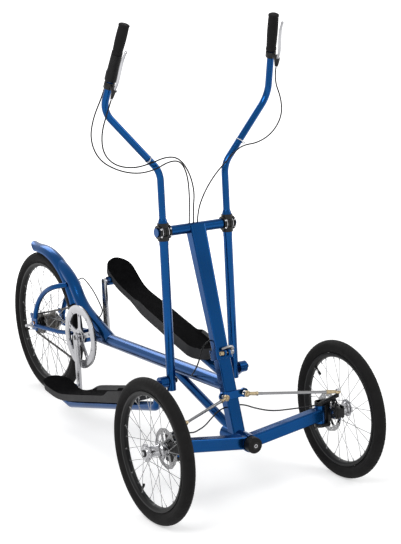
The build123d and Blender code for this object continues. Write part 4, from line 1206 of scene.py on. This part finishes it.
def dress_nodes():
    slots = {row["node"]: row["material_slot"] for row in frame["record"]["subparts"]}
    looks = {"frame_blue": BLUE, "tyre": RUBBER, "black_plastic": PLASTIC, "black_metal": BLACK_METAL,
             "cable_black": CABLE, "silver": SILVER, "plated_steel": ZINC, "chain_steel": CHAIN_STEEL}
    for name, node in frame["nodes"].items():
        node.data.materials.clear()
        node.data.materials.append(PLASTIC if name == "pivot_cap" else looks[slots[name]])


# stage


PHOTO_SIZE = (401, 544)
FOCAL_PIXELS = 1566.03
SENSOR = 36.0
CAMERA_AT = (4252.56, -2751.27, 1962.6)
LOOK_AT = (-298.27, 0, 741.6)
ROLL = radians(1.556)
FLOOR_REACH = 90
WHITE = (1, 1, 1, 1)


def camera():
    data = bpy.data.cameras.new("camera")
    data.sensor_width = SENSOR
    data.lens = FOCAL_PIXELS * SENSOR / max(PHOTO_SIZE)
    data.clip_end = 200
    place = spot(*CAMERA_AT)
    ahead = (spot(*LOOK_AT) - place).normalized()
    right = ahead.cross(Z).normalized()
    up = right.cross(ahead)
    tilted_right = right * cos(ROLL) - up * sin(ROLL)
    tilted_up = right * sin(ROLL) + up * cos(ROLL)
    eye = shown("camera", data)
    eye.matrix_world = placed(place * MM, tilted_right, tilted_up, -ahead)
    bpy.context.scene.camera = eye


def lamp(name, place, target, size, power):
    data = bpy.data.lights.new(name, "AREA")
    data.shape = "RECTANGLE"
    data.size, data.size_y = size
    data.energy = power
    light = shown(name, data)
    light.location = place
    light.rotation_mode = "QUATERNION"
    light.rotation_quaternion = (Vector(target) - Vector(place)).to_track_quat("-Z", "Y")


def mixed(tree, share, first, second):
    return add(tree, "MixShader", {"Fac": share, 1: first, 2: second}).outputs["Shader"]


def seen_directly(tree):
    """One for a ray from the camera, a mirror or glass, and zero for the rest."""
    path = tree.nodes.new("ShaderNodeLightPath")
    seen = path.outputs["Is Camera Ray"]
    for kind in ("Is Glossy Ray", "Is Transmission Ray"):
        either = add(tree, "Math", {0: seen, 1: path.outputs[kind]})
        either.operation = "MAXIMUM"
        seen = either.outputs["Value"]
    return seen


def floor():
    """Pale ground whose glow grows with the distance, so that shadows show near the wheels."""
    material, tree = new_material("pale_floor")
    tree.nodes.clear()
    matt = add(tree, "BsdfDiffuse", {"Color": (0.86, 0.86, 0.86, 1)}).outputs["BSDF"]
    glow = add(tree, "Emission", {"Color": WHITE, "Strength": 2.7}).outputs["Emission"]
    away = add(tree, "VectorMath", {0: object_place(tree)})
    away.operation = "LENGTH"
    lit = mixed(tree, spread(tree, away.outputs["Value"], 0.16, 0.45, 1.3, 3.2), matt, glow)
    add(tree, "OutputMaterial", {"Surface": mixed(tree, seen_directly(tree), matt, lit)})
    mesh = bpy.data.meshes.new("floor")
    corners = [(x * FLOOR_REACH, y * FLOOR_REACH, 0) for x, y in ((-1, -1), (1, -1), (1, 1), (-1, 1))]
    mesh.from_pydata(corners, [], [(0, 1, 2, 3)])
    mesh.materials.append(material)
    plane = shown("floor", mesh)


def studio():
    scene = bpy.context.scene
    scene.view_settings.view_transform = "Standard"
    scene.world = bpy.data.worlds.new("studio")
    scene.world.use_nodes = True
    tree = scene.world.node_tree
    tree.nodes.clear()
    fill = add(tree, "Background", {"Color": WHITE, "Strength": 0.55}).outputs["Background"]
    white = add(tree, "Background", {"Color": WHITE, "Strength": 1.0}).outputs["Background"]
    add(tree, "OutputWorld", {"Surface": mixed(tree, seen_directly(tree), fill, white)})
    lamp("key", (2.6, -3.4, 4.2), (0.2, 0, 0.7), (2.6, 2.6), 150)
    lamp("fill", (2.2, 4.0, 3.0), (0.2, 0, 0.7), (3.0, 3.0), 70)
    lamp("back", (-4.0, 0.6, 3.6), (0, 0, 0.8), (3.0, 2.0), 80)


def both(build):
    for side, s in SIDES:
        build(side, s)


dress_nodes()
both(front_wheel)
rear_wheel()
both(crank_arm)
chainwheel()
chain()
both(foot_pad)
both(grip)
twist_shifter()
both(brake_lever)
both(upper_cables)
both(brake_lines)
shift_line()
both(tie_rod)
quick_release()
both(pivot_clamp)
fender()
spine()
bowed_stays()
both(front_end)
both(cable_tie)
pivot_bolt()
rear_axle()
both(hinge_bolts)
floor()
camera()
studio()
